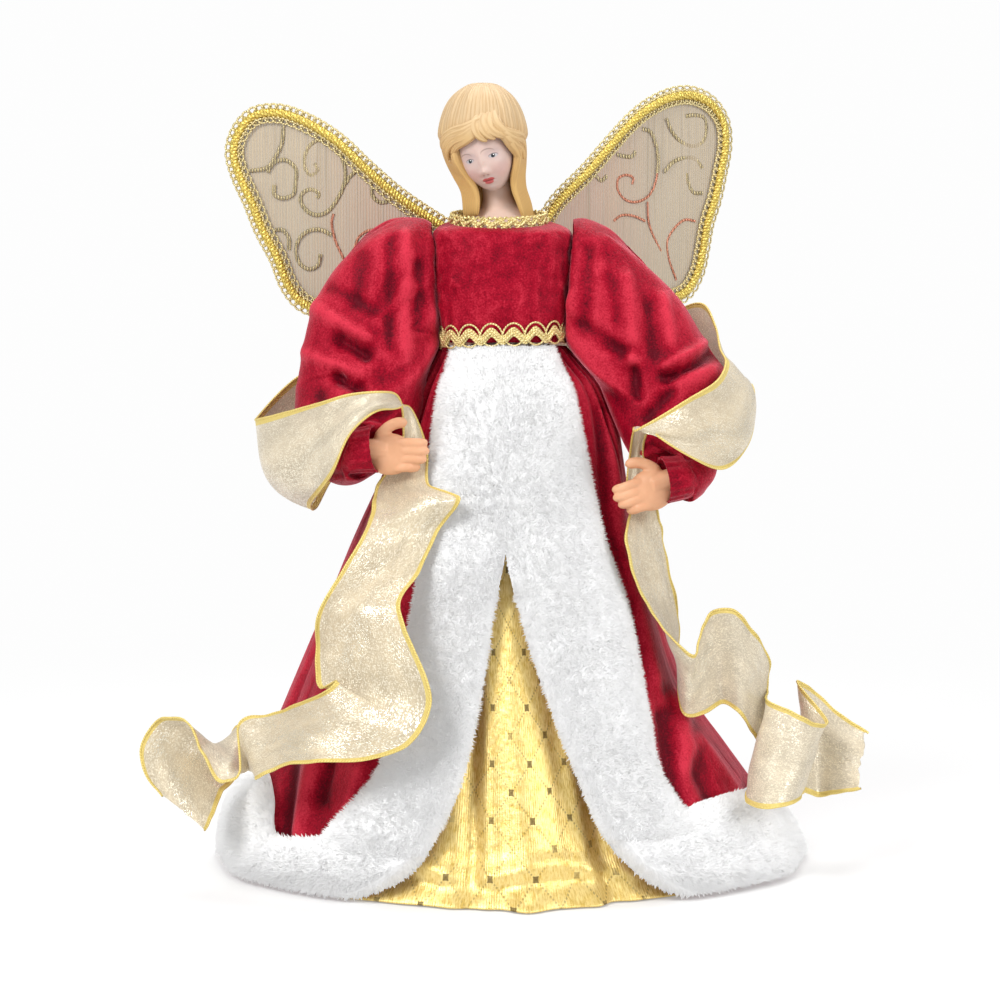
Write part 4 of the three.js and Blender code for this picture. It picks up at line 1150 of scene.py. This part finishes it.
hairSet = {
    "centre": (-10.7, 1.0, 288.0), "wide": 17.6, "high": 20.0, "front": 22.0, "back": 17.2, "low": 252.5,
    "drops": [0, 0.5, 1.5, 3, 5, 7.5, 10.5, 14, 17.5, 20],
    "sizes": [0, 0.27, 0.41, 0.54, 0.67, 0.78, 0.87, 0.94, 0.985, 1],
    "fringe": [  # each lock: x, y and z of the points along it
        [(-9.5, -17.8, 294.4), (-12, -20.8, 291.2), (-16.5, -20.8, 289), (-22.5, -16.2, 287.6),
         (-26.2, -9.5, 285), (-26.6, -5, 281.5)],
        [(-10.5, -18.6, 293.4), (-13, -21.6, 289.8), (-17.4, -21.2, 287.2), (-22.8, -16.4, 285.6),
         (-25.6, -10.5, 282.6), (-25.2, -7, 279)],
        [(-11.5, -19.2, 292), (-13.8, -22.2, 288.2), (-17.6, -21.4, 285.6), (-22, -17, 283.8),
         (-24.6, -11.5, 280.6), (-24, -8.5, 277)],
        [(-12.5, -20, 290), (-14.6, -22.2, 286.6), (-17.4, -21, 284.2), (-20.6, -17.4, 282.2),
         (-22.8, -12.8, 279)],
        [(-11.8, -17.8, 294.4), (-13.2, -21.2, 290.4), (-12.9, -23.2, 287), (-11, -23.2, 285),
         (-8.6, -22.4, 284)],
        [(-10.4, -17.4, 295.4), (-11, -21, 291), (-10.1, -23.2, 287.6), (-8.1, -23.2, 285.8),
         (-5.4, -22, 285)],
        [(-8.4, -17.4, 295.4), (-8.6, -21, 291), (-7.4, -23, 287.8), (-5, -22.6, 286.4),
         (-1.8, -20.6, 285.6)],
        [(-6.5, -17.2, 296), (-6, -20.6, 291.4), (-3.2, -21.2, 288), (0.8, -18, 286.8), (4.4, -13, 286.2),
         (5.6, -8, 283.4)],
        [(-5, -17.8, 293.6), (-4.4, -20.8, 289.4), (-2, -20.6, 286.6), (1.4, -17.8, 285), (4.5, -13.2, 284),
         (5.6, -9, 280.5)],
        [(-4, -18.6, 291), (-3, -20.6, 287.4), (-0.8, -19.6, 284.6), (2.0, -16.8, 282.6), (4.2, -13, 281),
         (5.2, -10, 277.5)],
        [(-2.5, -18.6, 288.6), (-1.2, -19.4, 285.2), (0.6, -18, 282.4), (2.4, -15.5, 279.8),
         (3.6, -13, 276.4)],
    ],
    "left": ([(-25.0, 293), (-25.8, 285), (-24.2, 278.5), (-21.4, 272.5), (-18.4, 266.5), (-17.8, 262),
              (-18.0, 255)],
             [(-20.6, 289), (-21.4, 282), (-20.4, 277), (-17.2, 271.5), (-14.0, 266.5), (-12.8, 262),
              (-13.0, 255)]),
    "right": ([(3.4, 293), (4.8, 285), (4.8, 277), (4.6, 272), (5.2, 267), (7.4, 261), (9.4, 252.6)],
              [(0.8, 289), (2.8, 282), (2.6, 276), (1.5, 270.5), (1.7, 266), (3.6, 260.4), (6.0, 252.6)]),
    "locks": 8,
}


def makeHair():
    cx, cy, cz = hairSet["centre"]

    def cap(s, t):
        turn = full * s
        front = math.cos(turn) > 0
        shift = 0.0
        if t < 0.6:
            drop = hairSet["high"] * (1 - math.cos(math.pi / 2 * t / 0.6))
            z, size = cz + hairSet["high"] - drop, flow(hairSet["drops"], hairSet["sizes"], drop)
        else:
            low = (t - 0.6) / 0.4
            z, size = mix(cz, hairSet["low"], low), 1 - 0.12 * ease(low, 0, 0.15) - 0.40 * ease(low, 0.1, 0.8)
            shift = 6 * ease(low, 0.2, 0.9)
        groove = math.sin(34 * turn + 2.6 * math.sin(3 * turn) + 1.8 * math.sin(7 * turn))
        comb = 0.22 * groove * ease(size, 0.3, 0.8) + 0.6 * ease(size, 0.1, 0.6) * noise.noise(
            Vector((math.sin(turn) * 4, math.cos(turn) * 4, t * 1.5)))
        x = math.sin(turn) * (hairSet["wide"] * size + comb)
        y = cy - math.cos(turn) * ((hairSet["front"] if front else hairSet["back"]) * size + comb)
        if t > 0.6:
            y = max(y, mix(-16, 1.5, ease(t, 0.6, 0.68)))
        return cx + shift + x, y, z

    bm = bentGrid(190, 76, cap, lambda s, t: (t * 40, s * 68), True)

    def lockShape(radius):
        return lambda s: radius * ease(s, -0.12, 0.3) ** 0.6 * (1 - s) ** 0.3

    for line in hairSet["fringe"]:
        tube(bm, smoothLine(line, 28), lockShape(2.6), 12, flat=0.7, up=(0, -1, 0), strands=5)
    for side in ("left", "right"):
        outer, inner = hairSet[side]
        for i in range(hairSet["locks"]):
            f = i / (hairSet["locks"] - 1)
            line = []
            for k, (a, b) in enumerate(zip(outer, inner)):
                drop = k / (len(outer) - 1)
                y = mix(mix(2, 4, drop), mix(-15.0, -8.5, drop), f)
                line.append((mix(a[0], b[0], f), y, mix(a[1], b[1], f)))
            tube(bm, smoothLine(line, 24), lockShape(2.5), 12, flat=0.8, up=(1, 0, 0), strands=5)
    hair = addPiece("moulded_hair", bm, "hair", "figure")
    subdivide(hair)


makeFace()
makeHair()
print("head made")

wingSet = {
    "rise": 236.4, "depth": 22.9, "spread": 8.0, "sides": {"left": (-1, 12), "right": (1, 36)},
    "left": [(9, 12.5), (20, 19), (35, 29), (48, 40), (60, 51), (73, 59), (85, 63), (95, 62), (101, 56.5),
             (104, 48), (102, 39), (96.5, 27), (92, 16), (85.5, 4), (81, -7), (75, -14), (66, -17),
             (52, -16), (30, -14), (9, -12)],
    "right": [(8.5, 15.5), (16, 25.5), (32, 39), (44, 50.3), (56, 61), (65.5, 67.2), (76, 71.5), (87, 73),
              (98, 69.8), (105, 62.3), (106.2, 53), (103.5, 41), (100.5, 30), (96.5, 20), (94, 9),
              (91.5, 0), (85.5, -8.5), (76, -12), (45, -11.6), (9.3, -11.8)],
    "areas": {"left": 0.0055, "right": 0.0066},
    "cord": [
        {"period": 2.6, "swing": 1.0, "weave": 0.5, "radius": 0.95, "phase": 0.0, "out": 1.5, "steps": 8},
        {"period": 2.6, "swing": 1.0, "weave": 0.5, "radius": 0.95, "phase": 0.5, "out": 1.5, "steps": 8},
    ],
    "picots": [
        {"period": 3.4, "swing": 1.5, "along": 1.5, "weave": 0.35, "radius": 0.42, "shift": 2.5, "out": 1.0},
        {"period": 2.7, "swing": -1.1, "along": 1.1, "weave": 0.35, "radius": 0.5, "shift": -2.5, "out": 1.1},
        {"period": 2.2, "swing": 0.5, "along": 0.7, "weave": 0.4, "radius": 0.5, "shift": 1.7, "out": 1.2},
    ],
}
scrollSet = {
    "half": {"scroll": 0.85, "copper": 0.55},
    "left": [
        ("scroll", [(83, 58), (83.7, 51), (87, 44.5), (90, 41), (97.5, 39.7)]),
        ("scroll", [(90, 39), (87, 43), (82.5, 44), (78, 40.5), (78, 35), (79, 30), (83.5, 28.5), (87, 30),
                    (87, 34)]),
        ("scroll", [(70, 42.5), (68.6, 39.7), (71.5, 37.7), (73.6, 40), (74, 45), (72, 49.5), (67.7, 52),
                    (62, 50), (58.8, 45.6), (57, 39.6), (57.6, 33.5), (60.6, 27.5), (64.4, 23),
                    (68.7, 21.5), (73, 23), (75.8, 27), (75.4, 30), (71.6, 32), (68, 30), (69, 28.4)]),
        ("scroll", [(57, 34), (55, 37), (50.5, 40), (46.7, 39.4)]),
        ("scroll", [(46, 33.4), (45.5, 29), (42.6, 26.5), (38.8, 27), (37, 29.7)]),
        ("copper", [(62, 22), (62.8, 18.6), (61.5, 11.7), (57.8, 3.6)]),
        ("scroll", [(63, 13.4), (67, 15.4), (71.7, 15.4), (76, 12.6), (78, 7.4), (76.4, 2), (72.6, -0.4),
                    (68.8, 1), (67.5, 5.7)]),
        ("scroll", [(87, 15.6), (83.5, 15.5), (81, 12), (81, 7.4)]),
        ("copper", [(53.5, 7), (51.4, 12.5), (46.8, 15.3), (44, 15.2)]),
    ],
    "right": [
        ("scroll", [(74.6, 63), (77.4, 58), (82, 54), (89, 52), (94.4, 54), (96.6, 59), (95.5, 64),
                    (90.5, 65), (85, 64.4)]),
        ("scroll", [(61.7, 58), (66, 57), (69, 52), (70.4, 45.5), (70, 40)]),
        ("copper", [(70, 40), (68, 34), (64.6, 30), (58, 27.7), (52, 29), (48.6, 33), (49, 37), (53, 38.7),
                    (57, 37.6), (56.5, 35)]),
        ("scroll", [(48, 47), (51.7, 46.4), (56.5, 46.6), (58, 48.7)]),
        ("scroll", [(37, 38), (40, 36), (43, 38)]),
        ("scroll", [(73.7, 40.6), (78.6, 45), (85, 47), (90.6, 46.6), (94.5, 43)]),
        ("scroll", [(86, 40.6), (87, 36), (89.6, 32.7), (94.6, 32.5)]),
        ("copper", [(64.6, 28), (65, 21), (67, 15.5), (72, 7.7)]),
        ("copper", [(46.5, 19.6), (50.7, 22), (57, 22), (63.5, 20)]),
        ("copper", [(90.8, 20.6), (85, 21), (80, 18), (75.5, 12), (76, 5.6), (80.5, -4.4)]),
    ],
}


def makeWing(name):
    side, sweep = wingSet["sides"][name]
    turn = side * math.radians(sweep)

    def onWing(u, w, out=0.0):
        x, y = side * u, -out
        return Vector((bodySet["shift"] + side * wingSet["spread"] + x * math.cos(turn) - y * math.sin(turn),
                       wingSet["depth"] + x * math.sin(turn) + y * math.cos(turn), wingSet["rise"] + w))

    rim = [Vector((u, w, 0)) for u, w in wingSet[name]]
    upper, lower = [Vector((3.6, 7.8, 0))] + rim[:10], [Vector((3.6, -7.8, 0))] + rim[:8:-1]

    def flatPlace(s, t):
        return splineAt(lower, s).lerp(splineAt(upper, s), t)

    def panel(s, t):
        p = flatPlace(s, t)
        sway = noise.noise(Vector((p.x * 0.05, p.y * 0.02, 3.0 * side))) * 1.6
        return onWing(p.x, p.y, sway * math.sin(math.pi * t) * math.sin(math.pi * s))

    bm = bentGrid(72, 40, panel, lambda s, t: tuple(flatPlace(s, t))[:2])
    bmesh.ops.remove_doubles(bm, verts=bm.verts, dist=1e-6)
    sheer = addPiece(name + "_sheer_wing", bm, "sheer", name + "_wing")
    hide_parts(name + "_wing_panel")
    outline = [onWing(p.x, p.y) for p in smoothLine(rim, 400)]
    forward = (onWing(0, 0, 1) - onWing(0, 0, 0)).normalized()
    for part, finish in (("cord", "braid"), ("picots", "picot")):
        bm = bmesh.new()
        for cord in wingSet[part]:
            gimp(bm, outline, lambda p: forward, cord)
        addPiece(name + "_wing_" + part, bm, finish, name + "_wing")
    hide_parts(name + "_wing_braid")
    for finish in ("scroll", "copper"):
        bm = bmesh.new()
        for kind, points in scrollSet[name]:
            if kind == finish:
                line, _ = evenLine(smoothLine([(u, w, 0) for u, w in points], 80), 0.7)
                stitches = [onWing(p.x, p.y, 0.3) for p in line]
                tube(bm, stitches, scrollSet["half"][finish], 6, flat=0.3, up=forward)
        addPiece(name + "_wing_" + finish, bm, finish, name + "_wing")


# Cloth casing that the wing wires turn in
def makeCasing():
    def place(s, t):
        angle = full * s
        x = math.cos(angle) * 10.3
        y = math.sin(angle) * (2.1 if abs(math.cos(angle)) > 0.4 else 1.7)
        return bodySet["shift"] + x, wingSet["depth"] + y, wingSet["rise"] + mix(-7.5, 7.5, t)

    casing = addPiece("velvet_casing", bentGrid(48, 14, place, None, True), "velvet", "figure")
    addModifier(casing, "SOLIDIFY", thickness=0.0006, offset=-1)
    subdivide(casing)
    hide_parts("wing_casing")


makeWing("left")
makeWing("right")
makeCasing()
print("wings made")

ribbonSet = {
    "width": 39, "across": 14, "perStation": 8, "thick": 0.3, "edge": 0.45, "hem": 0.035,
    "bows": {"left": {3: (-3, 0, -4), 4: (-5, -2, -6), 5: (-5, -4, -6)},
             "right": {6: (4, -2, -2), 7: (4, -3, -4)}},
    # stations from the middle of the back: x, y and z of the upper edge, then of the lower edge
    "left": [
        (3, 51, 212, 3, 56, 173), (-38, 46, 211, -38, 50, 172), (-58, 40, 206, -54.6, 42, 166),
        (-85, 30, 193, -70, 27, 154), (-100, 4, 177, -77, 2, 141), (-97, -16, 177, -77, -24, 145),
        (-72, -47, 184, -67, -52, 158), (-60, -55, 187.5, -60, -55, 173), (-49, -57, 188.5, -51, -56, 181),
        (-43, -45, 187, -44, -47, 182), (-41, -36, 180, -38, -28, 181), (-42, -33, 165, -32, -33, 166),
        (-51, -38, 152, -31, -44, 153), (-52, -48, 144, -19, -58, 149), (-55, -62, 135, -27, -52, 137),
        (-62, -70, 123, -34, -60, 122), (-71, -72, 107, -41, -78, 111), (-72, -66, 93, -36, -84, 97),
        (-71, -70, 80, -29, -90, 78), (-64, -78, 83, -36, -92, 63), (-67, -79, 80, -52, -89, 56),
        (-78, -64, 73, -71, -88, 55), (-90, -52, 67, -84, -80, 52), (-102, -52, 64, -93, -76, 47),
        (-101, -69, 47, -97, -43, 44.5), (-107, -70, 44, -104, -37, 60), (-116, -60, 54, -107, -32, 56),
        (-121, -54, 63, -105, -32, 44), (-133, -44, 64, -107, -34, 38), (-141, -42, 53, -110, -46, 36),
        (-139, -46, 43, -112, -54, 30), (-132, -50, 35, -115, -60, 24),
    ],
    "right": [
        (-3, 50, 212, -3, 55, 173), (36, 47, 214, 38, 52, 177), (58, 40, 215, 58, 46, 178),
        (77, 27, 222, 75, 40, 184), (82, 14, 213, 87, 26, 174), (83, 3, 204, 97, 30, 189),
        (84, -12, 199, 97, 4, 180), (79, -31, 192, 92, -19, 167), (66, -48, 185, 80, -42, 159),
        (54, -54, 178, 66, -54, 165), (47, -52, 174, 55, -55, 172), (47, -38, 174, 53, -38, 175),
        (46, -26, 163, 51, -27, 165), (45, -26, 152, 54, -26, 152), (46, -28, 142, 57, -26, 141),
        (44, -42, 134, 59, -22, 130), (47, -44, 118, 64, -18, 110), (54, -42, 104, 66, -14, 97),
        (61, -44, 95, 65, -26, 78), (70, -44, 88, 67, -36, 64), (73, -38, 97, 74, -34, 64),
        (77, -38, 104, 82, -32, 68), (85, -40, 105, 88, -38, 65), (93, -34, 96, 93, -32, 57),
        (100, -24, 85, 97, -28, 50), (100, -22, 72, 93, -38, 40), (99, -32, 69, 89, -52, 34),
        (107, -40, 66, 95, -63, 33), (117, -38, 61, 105, -60, 34), (123, -26, 60, 112, -40, 34),
        (113, -8, 73, 115, -24, 32), (122, 2, 67, 121, -18, 29), (131, -2, 59, 127, -22, 31),
        (142, -6, 52, 136, -28, 34),
    ],
}


def makeRibbon(name, side, node):
    stations = ribbonSet[name]
    first, second = [Vector(p[:3]) for p in stations], [Vector(p[3:]) for p in stations]
    bows = [Vector(ribbonSet["bows"][name].get(i, (0, 0, 0))) for i in range(len(stations))]
    count = (len(stations) - 1) * ribbonSet["perStation"]
    middle = [(splineAt(first, i / count) + splineAt(second, i / count)) / 2 for i in range(count + 1)]
    runs = [0.0]
    for a, b in zip(middle, middle[1:]):
        runs.append(runs[-1] + (b - a).length)

    def bowAt(s):
        i = min(int(s * (len(bows) - 1)), len(bows) - 2)
        return bows[i].lerp(bows[i + 1], ease(s * (len(bows) - 1) - i, 0, 1))

    def place(s, t):
        s *= 1 - 0.012 * abs(noise.noise(Vector((t * 7, side, 9))))  # ragged end
        a, b = splineAt(first, s), splineAt(second, s)
        ahead = splineAt(first, min(1, s + 0.003)) - splineAt(first, max(0, s - 0.003))
        face = ahead.cross(b - a).normalized()
        rough = 2.2 * noise.noise(Vector((s * 30 + t * 2, t * 2.2, side)))
        ripple = rough * math.sin(math.pi * t) ** 0.5 * ease(s, 0.01, 0.06)
        curl = 1.3 * noise.noise(Vector((s * 62, 3 * (t > 0.5), 5 + side)))
        wave = curl * abs(2 * t - 1) ** 3 * ease(s, 0.3, 0.4)
        return a.lerp(b, t) + face * (ripple + wave) + bowAt(s) * (4 * t * (1 - t))

    columns, hem = ribbonSet["across"], ribbonSet["hem"]

    def inset(t):  # the outer columns are the stitched edges
        step = round(t * columns)
        if step in (0, columns):
            return step / columns
        return mix(hem, 1 - hem, (step - 1) / (columns - 2))

    def uv(s, t):
        return runs[round(s * count)], inset(t) * ribbonSet["width"]

    bm = bentGrid(count, columns, lambda s, t: place(s, inset(t)), uv)
    layer = bm.loops.layers.uv.active
    for face in bm.faces:
        centre = sum(loop[layer].uv.y for loop in face.loops) / (4 * ribbonSet["width"])
        if not hem < centre < 1 - hem:
            face.material_index = 2
    ribbon = addPiece(name + "_gold_ribbon", bm, "ribbon")
    for finish in ("reverse", "edge", "edge"):
        ribbon.data.materials.append(finishes[finish])
    addModifier(ribbon, "SOLIDIFY", thickness=ribbonSet["thick"] * mm, offset=0, material_offset=1)
    subdivide(ribbon)
    bm = bmesh.new()
    for t in (0, 1):
        line, _ = evenLine([Vector(place(i / count, t)) for i in range(count + 1)], 1.2)
        tube(bm, line, ribbonSet["edge"], 6)
    edge = addPiece(name + "_ribbon_edge", bm, "edge")
    for piece in (ribbon, edge):
        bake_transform(piece)
    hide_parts(*node)
    print(name, "ribbon", round(runs[-1]), "mm long")


makeRibbon("left", -1, ["left_ribbon", "ribbon_back"])
makeRibbon("right", 1, ["right_ribbon"])
print("ribbons made")

plainNodes = {"core_cone": "card", "torso_block": "foam", "left_wing_wire": "wire", "right_wing_wire": "wire",
              "left_arm_wire": "wire", "right_arm_wire": "wire"}
for node, finish in plainNodes.items():
    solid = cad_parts[node]
    solid.data.materials.clear()
    solid.data.materials.append(finishes[finish])
print("plain nodes finished")
